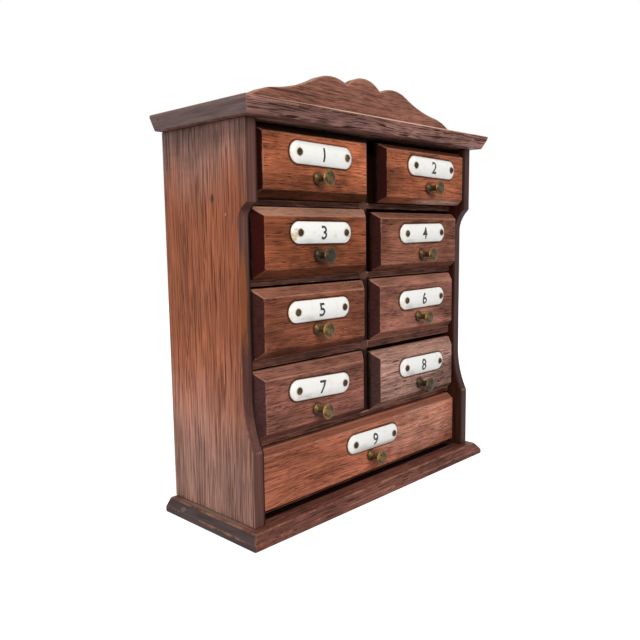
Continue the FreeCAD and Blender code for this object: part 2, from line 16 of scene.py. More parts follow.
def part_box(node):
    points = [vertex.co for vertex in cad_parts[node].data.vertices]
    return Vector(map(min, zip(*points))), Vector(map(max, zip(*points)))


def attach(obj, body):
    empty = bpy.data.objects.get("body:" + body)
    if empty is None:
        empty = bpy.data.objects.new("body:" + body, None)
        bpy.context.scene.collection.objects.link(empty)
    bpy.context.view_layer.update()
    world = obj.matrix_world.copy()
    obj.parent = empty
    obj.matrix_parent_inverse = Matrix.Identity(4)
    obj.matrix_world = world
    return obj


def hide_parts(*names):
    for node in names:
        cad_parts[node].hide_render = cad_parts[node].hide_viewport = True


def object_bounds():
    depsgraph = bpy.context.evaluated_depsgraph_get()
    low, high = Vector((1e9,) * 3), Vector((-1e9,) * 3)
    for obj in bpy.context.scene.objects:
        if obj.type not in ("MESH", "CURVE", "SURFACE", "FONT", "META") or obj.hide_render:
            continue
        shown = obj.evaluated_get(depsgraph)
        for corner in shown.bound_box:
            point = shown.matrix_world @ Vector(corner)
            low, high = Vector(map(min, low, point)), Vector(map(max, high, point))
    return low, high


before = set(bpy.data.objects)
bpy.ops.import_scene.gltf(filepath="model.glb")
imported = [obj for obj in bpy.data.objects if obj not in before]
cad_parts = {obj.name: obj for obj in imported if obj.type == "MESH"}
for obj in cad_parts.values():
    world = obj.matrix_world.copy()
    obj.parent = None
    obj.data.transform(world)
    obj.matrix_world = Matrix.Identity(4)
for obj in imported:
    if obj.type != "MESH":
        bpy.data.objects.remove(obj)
cad_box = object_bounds()

bl_info = {
    "name": "Spice drawer cabinet",
    "version": (1, 0, 0),
    "blender": (4, 5, 0),
    "location": "3D View > Sidebar > Spice cabinet",
    "description": "Dresses the cabinet's boards, knobs, labels and screws, and sets the stage",
    "category": "Object",
}

MM = 0.001
MERGE_DISTANCE = 1e-6
TOUCHING = 1e-7
FLAT_ANGLE = math.radians(0.5)
SHARP_ANGLE = math.radians(20)
CREASE_ANGLE = math.radians(35)
ROUNDING_STEPS = 3
SHADOW = 0.3  # how light the pore colour is where hardly any light comes
DRAWERS = [f"drawer_{number}" for number in range(1, 10)]
X_AXIS = Vector((1, 0, 0))
Y_AXIS = Vector((0, 1, 0))
Z_AXIS = Vector((0, 0, 1))
WHITE = (1.0, 1.0, 1.0)
AXES = {"X": X_AXIS, "Y": Y_AXIS, "Z": Z_AXIS}


# ---------------------------------------------------------------------------------------------
# Sizes and colours that a user may change
# ---------------------------------------------------------------------------------------------
def length(name, description, default):
    return FloatProperty(name=name, description=description, default=default, unit="LENGTH", precision=5)


def share(name, description, default):
    return FloatProperty(
        name=name, description=description, default=default, min=0.0, max=1.0, subtype="FACTOR"
    )


def colour(name, description, default):
    return FloatVectorProperty(
        name=name, description=description, default=default, size=3, min=0.0, max=1.0, subtype="COLOR"
    )


def angle(name, description, degrees):
    return FloatProperty(name=name, description=description, default=math.radians(degrees), subtype="ANGLE")


def number(name, description, default):
    return FloatProperty(name=name, description=description, default=default)


class CabinetWood(bpy.types.PropertyGroup):
    """Stained and waxed wood of the case and the drawer fronts."""

    arris_radius: length("Arris radius", "Rounding of every worn edge of the case", 0.9 * MM)
    front_radius: length("Front arris radius", "Rounding of the edges of the drawer fronts", 0.6 * MM)
    worn_band: length("Worn band", "Width of the band beside an edge that handling has worn", 0.7 * MM)
    case_colour: colour("Case colour", "Stain of the sides and the back", (0.400, 0.126, 0.060))
    # Front edges of the sides, darker than the sides as painted shade.
    edge_colour: colour("Edge colour", "Front edges of the sides, dark with handling", (0.125, 0.052, 0.042))
    rail_colour: colour("Rail colour", "Stain of the shelves and the divider", (0.100, 0.040, 0.029))
    base_colour: colour("Base colour", "Stain of the base board", (0.185, 0.070, 0.051))
    top_colour: colour("Top colour", "Stain of the top board", (0.280, 0.138, 0.115))
    cornice_end_colour: colour("Cornice end colour", "End grain of top and base", (0.110, 0.075, 0.070))
    crest_colour: colour("Crest colour", "Stain of the crest", (0.285, 0.118, 0.080))
    pore_colour: colour("Pore colour", "Dark filling of the open pores", (0.022, 0.008, 0.005))
    end_colour: colour("End grain colour", "End grain, which takes up the most stain", (0.024, 0.003, 0.002))
    worn_colour: colour("Worn colour", "Wood where the stain has rubbed off", (0.42, 0.21, 0.13))
    # Grey laid near both ends of the sides as painted sheen.
    dull_colour: colour("Dull colour", "Greyed stain near the ends of the sides", (0.430, 0.232, 0.182))
    dust_colour: colour("Dust colour", "Dust that has settled in the corners", (0.24, 0.18, 0.135))
    # Kept dark, as painted shade for the box sides seen in the gaps between the fronts.
    bare_colour: colour("Bare colour", "Wood of the drawer boxes", (0.090, 0.042, 0.022))
    roughness: share("Roughness", "Roughness of the wax over the stain", 0.46)


class CabinetMetal(bpy.types.PropertyGroup):
    """Turned brass of the knobs and the screws."""

    brass_colour: colour("Brass colour", "Rubbed brass", (0.420, 0.262, 0.090))
    tarnish_colour: colour("Tarnish colour", "Brown film on the brass", (0.042, 0.024, 0.010))
    slot_width: length("Slot width", "Width of the slot in a screw's head", 0.75 * MM)
    slot_depth: length("Slot depth", "Depth of the slot in a screw's head", 0.55 * MM)


class CabinetEnamel(bpy.types.PropertyGroup):
    """Fired enamel of the labels and their numbers."""

    white_colour: colour("White", "Enamel of the plate", (0.93, 0.92, 0.88))
    rim_colour: colour("Rim colour", "Thinner enamel round the rim", (0.72, 0.62, 0.45))
    stain_colour: colour("Stain colour", "Rust and oil stains", (0.55, 0.33, 0.08))
    number_colour: colour("Number colour", "Black enamel of the numbers", (0.010, 0.010, 0.012))
    thin_colour: colour("Thin colour", "Numbers where their enamel is thin", (0.16, 0.16, 0.17))
    ring_colour: colour("Ring colour", "Bared metal and rust round each screw", (0.03, 0.018, 0.010))
    number_height: length("Number height", "Height of the numbers", 9.0 * MM)
    number_stroke: length("Number stroke", "How much wider than the plain font each stroke is", 0.45 * MM)
    number_film: length("Number film", "How thick the numbers lie on the plate", 0.04 * MM)


class CabinetStage(bpy.types.PropertyGroup):
    """Camera, lamps and floor."""

    yaw: angle("Yaw", "Turn of the camera", -45.90)
    pitch: angle("Pitch", "Tilt of the camera", -7.14)
    roll: angle("Roll", "Lean of the camera", -0.75)
    position: FloatVectorProperty(
        name="Position", description="Where the camera stands", default=(-0.39541, -0.35997, 0.19620),
        size=3, subtype="TRANSLATION", unit="LENGTH", precision=5,
    )
    lens: number("Lens", "Focal length on a 36 mm sensor, in mm", 38.31)
    world_light: number("World light", "Strength of the light from all sides", 0.26)
    key_light: number("Key light", "Power of the large soft lamp", 17.0)
    fill_light: number("Fill light", "Power of the lamp on the left", 3.5)
    back_light: number("Back light", "Power of the lamp behind, on the right", 5.0)
    floor_paint: share("Floor paint", "Lightness of the floor's paint under the lamps", 0.50)
    floor_glow: share("Floor glow", "Light that the floor adds where the camera sees it", 0.88)
    floor_size: length("Floor size", "Side of the square floor", 12.0)


SETTINGS = {
    "cabinet_wood": CabinetWood,
    "cabinet_metal": CabinetMetal,
    "cabinet_enamel": CabinetEnamel,
    "cabinet_stage": CabinetStage,
}


# ---------------------------------------------------------------------------------------------
# Shader helpers
# ---------------------------------------------------------------------------------------------
class Nodes:
    """A node tree with short calls for the nodes that the finishes are made of."""

    def __init__(self, tree):
        self.tree = tree

    def add(self, kind, **inputs):
        """A node, with each named input set to a value or fed by a socket."""
        node = self.tree.nodes.new(kind)
        for name, value in inputs.items():
            self.feed(node, name.replace("_", " "), value)
        return node

    def feed(self, node, name, value):
        socket = node.inputs[name]
        if isinstance(value, bpy.types.NodeSocket):
            self.tree.links.new(value, socket)
        elif isinstance(socket.default_value, float) or isinstance(value, (int, float)):
            socket.default_value = value
        else:
            numbers = tuple(value)
            wanted = len(socket.default_value)
            socket.default_value = numbers + (1.0,) * (wanted - len(numbers))

    def make(self, kind, *values, **settings):
        """A node with its own settings, and its inputs fed in their order."""
        node = self.tree.nodes.new(kind)
        for name, setting in settings.items():
            setattr(node, name, setting)
        for index, value in enumerate(values):
            self.feed(node, index, value)
        return node

    def math(self, operation, *values, clamp=False):
        return self.make("ShaderNodeMath", *values, operation=operation, use_clamp=clamp).outputs[0]

    def plus(self, base, value, factor=1.0):
        """The base and so many times the value."""
        if factor != 1.0:
            value = self.math("MULTIPLY", value, factor)
        return self.math("ADD", base, value)

    def about_half(self, value, factor):
        """How far the value lies over a half, times the factor."""
        return self.math("MULTIPLY", self.math("SUBTRACT", value, 0.5), factor)

    def vector(self, operation, *values):
        node = self.make("ShaderNodeVectorMath", *values, operation=operation)
        return node.outputs["Value" if operation == "LENGTH" else "Vector"]

    def noise(self, vector, scale, detail=2.0, roughness=0.5):
        node = self.add("ShaderNodeTexNoise", Vector=vector, Scale=scale, Detail=detail, Roughness=roughness)
        return node.outputs["Fac"]

    def stretched(self, vector, stretch, detail, roughness=0.5):
        """Noise with so many grains to the metre along each axis."""
        return self.noise(self.vector("MULTIPLY", vector, stretch), 1.0, detail, roughness)

    def ramp(self, value, low, high, start=0.0, end=1.0, smooth=True):
        """The value between low and high, spread over start to end and held there outside them."""
        shape = "SMOOTHSTEP" if smooth else "LINEAR"
        node = self.make(
            "ShaderNodeMapRange", value, low, high, start, end, interpolation_type=shape, clamp=True
        )
        return node.outputs["Result"]

    def mix(self, share, first, second, blend="MIX"):
        node = self.make("ShaderNodeMix", data_type="RGBA", blend_type=blend, clamp_factor=True)
        for name, value in (("Factor_Float", share), ("A_Color", first), ("B_Color", second)):
            socket = next(s for s in node.inputs if s.identifier == name)
            if isinstance(value, bpy.types.NodeSocket):
                self.tree.links.new(value, socket)
            elif name == "Factor_Float":
                socket.default_value = value
            else:
                socket.default_value = tuple(value)[:3] + (1.0,)
        return next(s for s in node.outputs if s.identifier == "Result_Color")

    def over(self, body, tint, mask, strength=1.0, blend="MIX"):
        """The body's colour with the tint over it where the mask is 1, up to the strength."""
        return self.mix(self.math("MULTIPLY", mask, strength), body, tint, blend)

    def scaled(self, tint, share):
        """A colour made lighter or darker by a changing share."""
        node = self.make("ShaderNodeVectorMath", tint, operation="SCALE")
        self.feed(node, "Scale", share)
        return node.outputs["Vector"]

    def split(self, vector):
        """The parts of a vector, by the names X, Y and Z."""
        return self.add("ShaderNodeSeparateXYZ", Vector=vector).outputs

    def off_axis(self, x, z):
        """How far a point lies from the Y axis."""
        return self.vector("LENGTH", self.add("ShaderNodeCombineXYZ", X=x, Z=z).outputs[0])

    def bump(self, surface, strength, distance, height):
        """Relief on the surface of a material, with the distance in mm."""
        relief = self.add("ShaderNodeBump", Strength=strength, Distance=distance * MM, Height=height)
        self.feed(surface, "Normal", relief.outputs["Normal"])

    def seen(self):
        """1 for rays from the camera and its reflections, and 0 for those that only bring light."""
        rays = self.make("ShaderNodeLightPath").outputs
        direct = self.math("MAXIMUM", rays["Is Camera Ray"], rays["Is Glossy Ray"])
        return self.math("MAXIMUM", direct, rays["Is Transmission Ray"])

    def attribute(self, name):
        return self.make("ShaderNodeAttribute", attribute_name=name).outputs["Fac"]

    def group(self, name, build, **inputs):
        """A shared group, which is built the first time that it is asked for."""
        if name not in bpy.data.node_groups:
            build(name)
        node = self.make("ShaderNodeGroup", node_tree=bpy.data.node_groups[name])
        for label, value in inputs.items():
            self.feed(node, label.replace("_", " "), value)
        return node


def new_group(name, inputs, outputs):
    """An empty shader group that takes a vector called Vector and the named numbers, and gives numbers."""
    tree = bpy.data.node_groups.new(name, "ShaderNodeTree")
    tree.interface.new_socket("Vector", in_out="INPUT", socket_type="NodeSocketVector")
    for way, labels in (("INPUT", inputs), ("OUTPUT", outputs)):
        for label in labels:
            tree.interface.new_socket(label, in_out=way, socket_type="NodeSocketFloat")
    return Nodes(tree), tree.nodes.new("NodeGroupInput").outputs, tree.nodes.new("NodeGroupOutput")


def empty_tree(owner):
    """The nodes of a material or a world, cleared."""
    owner.use_nodes = True
    owner.node_tree.nodes.clear()
    return Nodes(owner.node_tree)


def new_material(name):
    """A material with a Principled BSDF, its nodes and its object coordinates."""
    material = bpy.data.materials.new(name)
    nodes = empty_tree(material)
    surface = nodes.make("ShaderNodeBsdfPrincipled")
    nodes.add("ShaderNodeOutputMaterial", Surface=surface.outputs["BSDF"])
    place = nodes.make("ShaderNodeTexCoord").outputs["Object"]
    return material, nodes, surface, place


def shade(tint, strength):
    """The same hue, lighter or darker."""
    return tuple(min(channel * strength, 1.0) for channel in tuple(tint)[:3])


def mapped(nodes, place, location=(0, 0, 0), rotation=(0, 0, 0)):
    """Object coordinates, first moved so that location is the origin, then turned."""
    moved = nodes.vector("SUBTRACT", place, location)
    turned = nodes.add("ShaderNodeMapping", Vector=moved, Rotation=rotation)
    return turned.outputs["Vector"]


# ---------------------------------------------------------------------------------------------
# Shader groups
# ---------------------------------------------------------------------------------------------
# Fibre stretch of each layer of pores, where a pore starts and is full, and how dark it is.
PORE_LAYERS = (
    ((90.0, 2300.0, 2300.0), 0.560, 0.610, 0.75),
    ((52.0, 1700.0, 1700.0), 0.610, 0.655, 1.0),
)


def build_grain(name):
    """Solid wood whose fibres run along X. Tone and Cloud lie about 0.5, and Pores is 1 in an open pore.
    Banding gathers the pores in bands, and Sparse thins them out."""
    nodes, inputs, output = new_group(
        name, ("Ring Width", "Pore Size", "Banding", "Sparse"), ("Tone", "Pores", "Cloud")
    )
    place = inputs["Vector"]
    slow = nodes.vector("MULTIPLY", place, (6.0, 26.0, 26.0))
    warp = nodes.add("ShaderNodeTexNoise", Vector=slow, Scale=1.0, Detail=2.0, Roughness=0.5).outputs["Color"]
    push = nodes.vector("MULTIPLY", nodes.vector("SUBTRACT", warp, (0.5, 0.5, 0.5)), (0.0, 0.014, 0.014))
    bent = nodes.vector("ADD", place, push)
    flat = nodes.vector("MULTIPLY", bent, (0.04, 1.0, 1.0))
    radius = nodes.vector("LENGTH", nodes.vector("ADD", flat, (0.0, 0.034, 0.052)))
    turns = nodes.math("DIVIDE", radius, inputs["Ring Width"])
    ring = nodes.plus(0.5, nodes.math("SINE", nodes.math("MULTIPLY", turns, math.tau)), 0.5)
    fibres = nodes.stretched(bent, (20.0, 1150.0, 1150.0), 2.0, 0.6)
    bands = nodes.stretched(bent, (6.0, 190.0, 190.0), 2.0)
    cloud = nodes.stretched(place, (15.0, 32.0, 32.0), 3.0, 0.6)
    banded = nodes.about_half(bands, inputs["Banding"])
    tone = nodes.plus(nodes.math("MULTIPLY", ring, 0.14), nodes.ramp(fibres, 0.36, 0.64, smooth=False), 0.56)
    tone = nodes.plus(tone, nodes.ramp(banded, -0.18, 0.18, smooth=False), 0.30)
    crowd = nodes.plus(nodes.about_half(cloud, 0.12), banded, 0.14)
    crowd = nodes.math("SUBTRACT", crowd, inputs["Sparse"])
    finer = nodes.math("DIVIDE", 1.0, inputs["Pore Size"])
    pores = 0.0
    for stretch, low, high, depth in PORE_LAYERS:
        sized = nodes.scaled(nodes.vector("MULTIPLY", bent, stretch), finer)
        dashes = nodes.noise(sized, 1.0, detail=1.0, roughness=0.4)
        layer = nodes.ramp(nodes.plus(dashes, crowd), low, high, 0.0, depth)
        pores = nodes.math("MAXIMUM", pores, layer)
    nodes.feed(output, "Tone", tone)
    nodes.feed(output, "Pores", pores)
    nodes.feed(output, "Cloud", cloud)


def build_wear(name):
    """Where handling has rubbed the stain off, from how near an edge is, and where grime has stayed."""
    nodes, inputs, output = new_group(name, ("Edge", "Amount"), ("Rubbed", "Grime"))
    patches = nodes.noise(inputs["Vector"], 70.0, detail=4.0, roughness=0.65)
    fine = nodes.noise(inputs["Vector"], 700.0, detail=2.0, roughness=0.5)
    broken = nodes.plus(nodes.math("MULTIPLY", patches, 1.3), fine, 0.5)
    reach = nodes.plus(inputs["Edge"], nodes.math("SUBTRACT", broken, 0.9))
    reach = nodes.plus(reach, nodes.math("SUBTRACT", inputs["Amount"], 0.5))
    rubbed = nodes.math("MULTIPLY", nodes.ramp(reach, 0.62, 1.15), nodes.ramp(inputs["Edge"], 0.0, 0.4))
    nodes.feed(output, "Rubbed", rubbed)
    grime = nodes.noise(inputs["Vector"], 24.0, detail=5.0, roughness=0.7)
    nodes.feed(output, "Grime", nodes.ramp(grime, 0.48, 0.78))


def build_spot(name):
    """A small mark with a ragged rim. Vector is the place seen from the mark's middle, in its own sizes,
    and Square is 1 for a box with a crisp rim and 0 for a soft round mark."""
    nodes, inputs, output = new_group(name, ("Raggedness", "Square"), ("Mask",))
    square = inputs["Square"]
    rough = nodes.noise(inputs["Vector"], 2.3, detail=3.0, roughness=0.65)
    ragged = nodes.about_half(rough, inputs["Raggedness"])
    sides = nodes.split(nodes.vector("ABSOLUTE", inputs["Vector"]))
    boxed = nodes.math("MAXIMUM", nodes.math("MAXIMUM", sides["X"], sides["Y"]), sides["Z"])
    away = nodes.ramp(square, 0.0, 1.0, nodes.vector("LENGTH", inputs["Vector"]), boxed, smooth=False)
    core = nodes.plus(0.55, square, 0.4)
    nodes.feed(output, "Mask", nodes.ramp(nodes.plus(away, ragged), core, 1.1, 1.0, 0.0))


def build_tarnish(name):
    """Brown film on turned brass. Vector has its origin on the turning axis, and Rub Start and Rub End are
    the distances from it between which the film thins out: handling has rubbed it away at the rim, and the
    thicker film towards the middle is partly a painted dark reflection."""
    nodes, inputs, output = new_group(name, ("Amount", "Rub Start", "Rub End"), ("Film", "Scratches"))
    parts = nodes.split(inputs["Vector"])
    away = nodes.off_axis(parts["X"], parts["Z"])
    blotch = nodes.noise(inputs["Vector"], 260.0, detail=4.0, roughness=0.6)
    speck = nodes.noise(inputs["Vector"], 1500.0, detail=2.0, roughness=0.5)
    # Film is thicker towards the axis: wear at the rim, and partly a painted dark reflection in the middle.
    inward = nodes.ramp(away, inputs["Rub Start"], inputs["Rub End"], 1.0, 0.0)
    film = nodes.math("MULTIPLY", nodes.math("SUBTRACT", inward, 0.25), 0.16)
    film = nodes.plus(nodes.plus(film, blotch, 0.9), speck, 0.16)
    film = nodes.plus(film, nodes.math("SUBTRACT", inputs["Amount"], 0.5))
    nodes.feed(output, "Film", nodes.ramp(film, 0.30, 0.90))
    nodes.feed(output, "Scratches", nodes.stretched(inputs["Vector"], (900.0, 5200.0, 900.0), 2.0))


def build_label_zones(name):
    """How near a point of a label is to its rim and to its screws. Vector has its origin in the middle
    of the label and X along it."""
    nodes, inputs, output = new_group(
        name, ("Half Straight", "End Radius", "Half Spacing"), ("Rim", "Screw Distance")
    )
    parts = nodes.split(inputs["Vector"])
    reach = nodes.math("ABSOLUTE", parts["X"])
    past = nodes.math("MAXIMUM", nodes.math("SUBTRACT", reach, inputs["Half Straight"]), 0.0)
    rim = nodes.math("DIVIDE", nodes.off_axis(past, parts["Z"]), inputs["End Radius"])
    nodes.feed(output, "Rim", rim)
    aside = nodes.math("SUBTRACT", reach, inputs["Half Spacing"])
    nodes.feed(output, "Screw Distance", nodes.off_axis(aside, parts["Z"]))


# ---------------------------------------------------------------------------------------------
# Materials
# ---------------------------------------------------------------------------------------------
# How the wood is turned so that its fibres follow an axis, and how far apart the boards lie in the tree.
GRAIN_TURNS = {"X": (0, 0, 0), "Y": (0, 0, math.radians(-90)), "Z": (0, math.radians(90), 0)}
SEED_STEP = Vector((0.37, 0.013, 0.021))
TONE_SPREAD = 0.33
GRIME_STRENGTH = 0.25
RUBBED_STRENGTH = 0.75
RECESS_SHADE_STRENGTH = 0.95
CLOUD_ROUGHNESS = 0.14
PORE_ROUGHNESS = 0.3


@dataclass
class Mark:
    """A mark on a board: its middle and half sizes in mm, its colour and its strength. A wash leaves the
    grain under it showing, and its colour is what the wood's own colour is multiplied by. A square mark
    is a box with a crisp rim."""

    middle: tuple
    half_sizes: tuple
    tint: tuple
    strength: float
    raggedness: float = 0.9
    wash: bool = False
    square: bool = False

    def over(self, nodes, place, body):
        """The body's colour with the mark on it."""
        seen = nodes.vector("SUBTRACT", place, Vector(self.middle) * MM)
        seen = nodes.vector("DIVIDE", seen, Vector(self.half_sizes) * MM)
        square = float(self.square)
        spot = nodes.group("spot", build_spot, Vector=seen, Raggedness=self.raggedness, Square=square)
        blend = "MULTIPLY" if self.wash else "MIX"
        return nodes.over(body, self.tint, spot.outputs["Mask"], self.strength, blend)


@dataclass
class Finish:
    """How one board is finished."""

    stain: tuple  # colour of the stained wood
    grain: str  # the axis that the fibres follow
    seed: int  # gives every board its own place in the tree
    wear: float = 0.5  # how far the arrises are rubbed
    end_stain: tuple = None  # colour of the end grain, where it isn't the common one
    dull: float = 0.0  # how far the wood near both ends is painted grey, as painted sheen
    dusty: float = 0.0  # share of a tint laid on the faces that look up: painted sheen where the tint is light, painted shadow where it is dark
    dust_tint: tuple = None  # its colour, where it isn't the common one
    under: float = 1.0  # how light the faces that look down are kept, as painted shade
    pore_size: float = 1.0  # how large the pores are
    long_fibres: float = 1.0  # how far the grain is drawn out along the fibres
    pore_depth: float = 0.6  # how dark the pores are
    ring: float = 4.2  # width of a year ring in mm
    cloudy: float = 0.5  # how much the stain changes from place to place
    contrast: float = 1.0  # how strongly the grain shows
    banding: float = 1.0  # how far the pores gather in bands
    sparse: float = 0.0  # how far the pores are thinned out
    plate: object = None  # the label round which a dark fringe is painted, as painted contact shadow
    inner: float = None  # depth in mm behind the front at which the board is painted black, as painted shade in the recess
    marks: tuple = ()  # its marks, each laid over the ones before it
    gloss: float = 0.12  # how strongly the wax reflects


def label_zones(nodes, place, plate):
    """How near a point is to a label's rim and screws, and the point as seen from the label's middle."""
    local = mapped(nodes, place, plate.middle, (0, plate.tilt, 0))
    zones = nodes.group(
        "label_zones", build_label_zones, Vector=local, Half_Straight=plate.half_straight,
        End_Radius=plate.half_width, Half_Spacing=plate.half_spacing,
    )
    return zones.outputs, local


def wood_material(node, finish):
    """Stained and waxed wood for a CAD board."""
    wood = bpy.context.scene.cabinet_wood
    material, nodes, surface, place = new_material(f"{node}_finish")
    along = mapped(nodes, place, middle_of(node) - SEED_STEP * finish.seed, GRAIN_TURNS[finish.grain])
    along = nodes.vector("MULTIPLY", along, (1 / finish.long_fibres, 1.0, 1.0))
    board = nodes.group(
        "board_grain", build_grain, Vector=along, Ring_Width=finish.ring * MM, Pore_Size=finish.pore_size,
        Banding=finish.banding, Sparse=finish.sparse,
    ).outputs
    tone = nodes.ramp(board["Tone"], 0.15, 0.85, smooth=False)
    pores, cloud = board["Pores"], board["Cloud"]
    edge = nodes.attribute("edge")
    wear_and_painted_light = nodes.group("edge_wear", build_wear, Vector=place, Edge=edge, Amount=finish.wear).outputs
    lean = nodes.attribute("lean")
    spread = TONE_SPREAD * finish.contrast

    def grained(tint):
        return nodes.mix(tone, shade(tint, 1 + spread), shade(tint, 1 - spread))

    body = grained(finish.stain)
    # Painted sheen: grey laid near both ends of the board.
    if finish.dull:
        height = nodes.plus(nodes.split(place)["Z"], nodes.about_half(cloud, 0.09))
        ends = nodes.math("MAXIMUM", nodes.ramp(height, 0.205, 0.268), nodes.ramp(height, 0.130, 0.030))
        body = nodes.over(body, grained(wood.dull_colour), ends, finish.dull)
    body = nodes.scaled(body, nodes.ramp(cloud, 0.30, 0.70, 1 + 0.5 * finish.cloudy, 1 - 0.5 * finish.cloudy))
    body = nodes.over(body, wood.pore_colour, pores, finish.pore_depth)
    body = nodes.over(body, wood.pore_colour, wear_and_painted_light["Grime"], GRIME_STRENGTH)
    rays = tone
    if finish.grain == "X":
        rays = nodes.ramp(nodes.stretched(place, (400.0, 36.0, 520.0), 3.0, 0.6), 0.34, 0.66, smooth=False)
    dark_end = finish.end_stain or wood.end_colour
    end = nodes.mix(rays, shade(dark_end, 1.25), shade(dark_end, 0.72))
    body = nodes.mix(nodes.attribute("end_grain"), body, end)
    # Painted shade: the faces that look down are darkened.
    if finish.under < 1:
        body = nodes.scaled(body, nodes.ramp(lean, -0.25, -0.75, 1.0, finish.under))
    # Painted light on the faces that look up: sheen where the tint is light, shadow where it is dark.
    if finish.dusty:
        dust_and_painted_light = nodes.math("MULTIPLY", nodes.ramp(lean, 0.2, 0.75), nodes.ramp(cloud, 0.62, 0.38, 0.75, 1.0))
        dust_and_painted_light = nodes.math("MULTIPLY", dust_and_painted_light, nodes.ramp(pores, 0.0, 1.0, 1.0, 0.4))
        body = nodes.over(body, finish.dust_tint or wood.dust_colour, dust_and_painted_light, finish.dusty)
    body = nodes.over(body, wood.worn_colour, wear_and_painted_light["Rubbed"], RUBBED_STRENGTH)
    for mark in finish.marks:
        body = mark.over(nodes, place, body)
    # Painted contact shadow: a dark fringe round the label.
    if finish.plate is not None:
        rim = label_zones(nodes, place, finish.plate)[0]["Rim"]
        body = nodes.mix(nodes.ramp(rim, 1.06, 1.26, 0.8, 0.0), body, wood.pore_colour)
    # Painted shade: behind its front the board goes black, as in a deep recess.
    if finish.inner is not None:
        front, depth = frame_front(node), finish.inner * MM
        behind = nodes.split(place)["Y"]
        recess_shade = nodes.ramp(behind, front + 0.15 * depth, front + depth, 0.0, RECESS_SHADE_STRENGTH)
        body = nodes.mix(recess_shade, body, shade(wood.pore_colour, SHADOW))
    nodes.feed(surface, "Base Color", body)
    rough = nodes.plus(nodes.math("MULTIPLY", pores, PORE_ROUGHNESS), cloud, CLOUD_ROUGHNESS)
    rough = nodes.math("ADD", rough, wood.roughness - CLOUD_ROUGHNESS / 2, clamp=True)
    nodes.feed(surface, "Roughness", rough)
    nodes.feed(surface, "Specular IOR Level", finish.gloss)
    nodes.bump(surface, 0.3, 0.1, nodes.math("SUBTRACT", nodes.math("MULTIPLY", tone, -0.3), pores))
    return material


def brass_material(name, axis, tarnish, rub_start, rub_end, tint=WHITE):
    """Aged brass whose brown film has rubbed away towards the rim and lies thicker towards the middle, partly
    as a painted dark reflection. Axis is a point on the turning axis, and rub_start and rub_end are in mm."""
    metal = bpy.context.scene.cabinet_metal
    material, nodes, surface, place = new_material(name)
    aged = nodes.group(
        "tarnish", build_tarnish, Vector=mapped(nodes, place, axis), Amount=tarnish, Rub_Start=rub_start * MM,
        Rub_End=rub_end * MM,
    ).outputs
    own = (metal.brass_colour, metal.tarnish_colour)
    bright, dark = (tuple(channel * part for channel, part in zip(base, tint)) for base in own)
    nodes.feed(surface, "Base Color", nodes.mix(aged["Film"], bright, dark))
    nodes.feed(surface, "Metallic", nodes.ramp(aged["Film"], 0.0, 1.0, 0.7, 0.1, smooth=False))
    nodes.feed(surface, "Roughness", nodes.plus(0.22, aged["Film"], 0.12))
    nodes.feed(surface, "Specular IOR Level", 0.15)
    nodes.bump(surface, 0.15, 0.04, aged["Scratches"])
    return material


def enamel_material(name, plate, stains):
    """White enamel with a creamy rim, a dark ring round each screw and a few stains."""
    enamel = bpy.context.scene.cabinet_enamel
    material, nodes, surface, place = new_material(name)
    zones, local = label_zones(nodes, place, plate)
    blotch = nodes.noise(place, 130.0, detail=4.0, roughness=0.65)
    spread = nodes.noise(place, 320.0, detail=3.0, roughness=0.6)
    rim = nodes.ramp(nodes.plus(zones["Rim"], nodes.about_half(blotch, 0.24)), 0.92, 1.08)
    body = nodes.mix(rim, enamel.white_colour, enamel.rim_colour)
    left = nodes.ramp(nodes.split(local)["X"], -plate.half_spacing - 1 * MM, -plate.half_spacing - 6 * MM)
    stained = nodes.ramp(nodes.plus(blotch, left, 0.2), 0.56, 0.74)
    body = nodes.over(body, enamel.stain_colour, stained, stains)
    around = nodes.plus(zones["Screw Distance"], spread, 0.5 * MM)
    ring = nodes.ramp(around, 2.75 * MM, 3.15 * MM, 1.0, 0.0)
    body = nodes.mix(ring, body, enamel.ring_colour)
    body = nodes.mix(nodes.ramp(around, 3.0 * MM, 4.6 * MM, 0.35, 0.0), body, enamel.rim_colour)
    nodes.feed(surface, "Base Color", body)
    nodes.feed(surface, "Roughness", nodes.ramp(ring, 0.0, 1.0, 0.16, 0.7))
    nodes.feed(surface, "Coat Weight", 0.6)
    nodes.feed(surface, "Coat Roughness", 0.06)
    nodes.bump(surface, 0.12, 0.2, nodes.noise(place, 260.0, detail=1.0))
    return material


def number_material():
    """Black enamel, a little thin in places."""
    enamel = bpy.context.scene.cabinet_enamel
    material, nodes, surface, place = new_material("black_enamel")
    thin = nodes.ramp(nodes.noise(place, 900.0, detail=3.0, roughness=0.6), 0.55, 0.85)
    nodes.feed(surface, "Base Color", nodes.over(enamel.number_colour, enamel.thin_colour, thin, 0.5))
    nodes.feed(surface, "Roughness", nodes.plus(0.25, thin, 0.2))
    return material


# ---------------------------------------------------------------------------------------------
# Mesh helpers
# ---------------------------------------------------------------------------------------------
def middle_of(node):
    low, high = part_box(node)
    return (Vector(low) + Vector(high)) / 2


def frame_front(node):
    """The Y of a CAD node's foremost point."""
    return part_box(node)[0][1]


def solid_of(node):
    """A clean bmesh of a CAD node: its triangles merged and its flat faces made whole."""
    bm = bmesh.new()
    bm.from_mesh(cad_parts[node].data)
    bmesh.ops.remove_doubles(bm, verts=bm.verts, dist=MERGE_DISTANCE)
    bmesh.ops.dissolve_limit(bm, angle_limit=FLAT_ANGLE, verts=bm.verts, edges=bm.edges)
    return bm


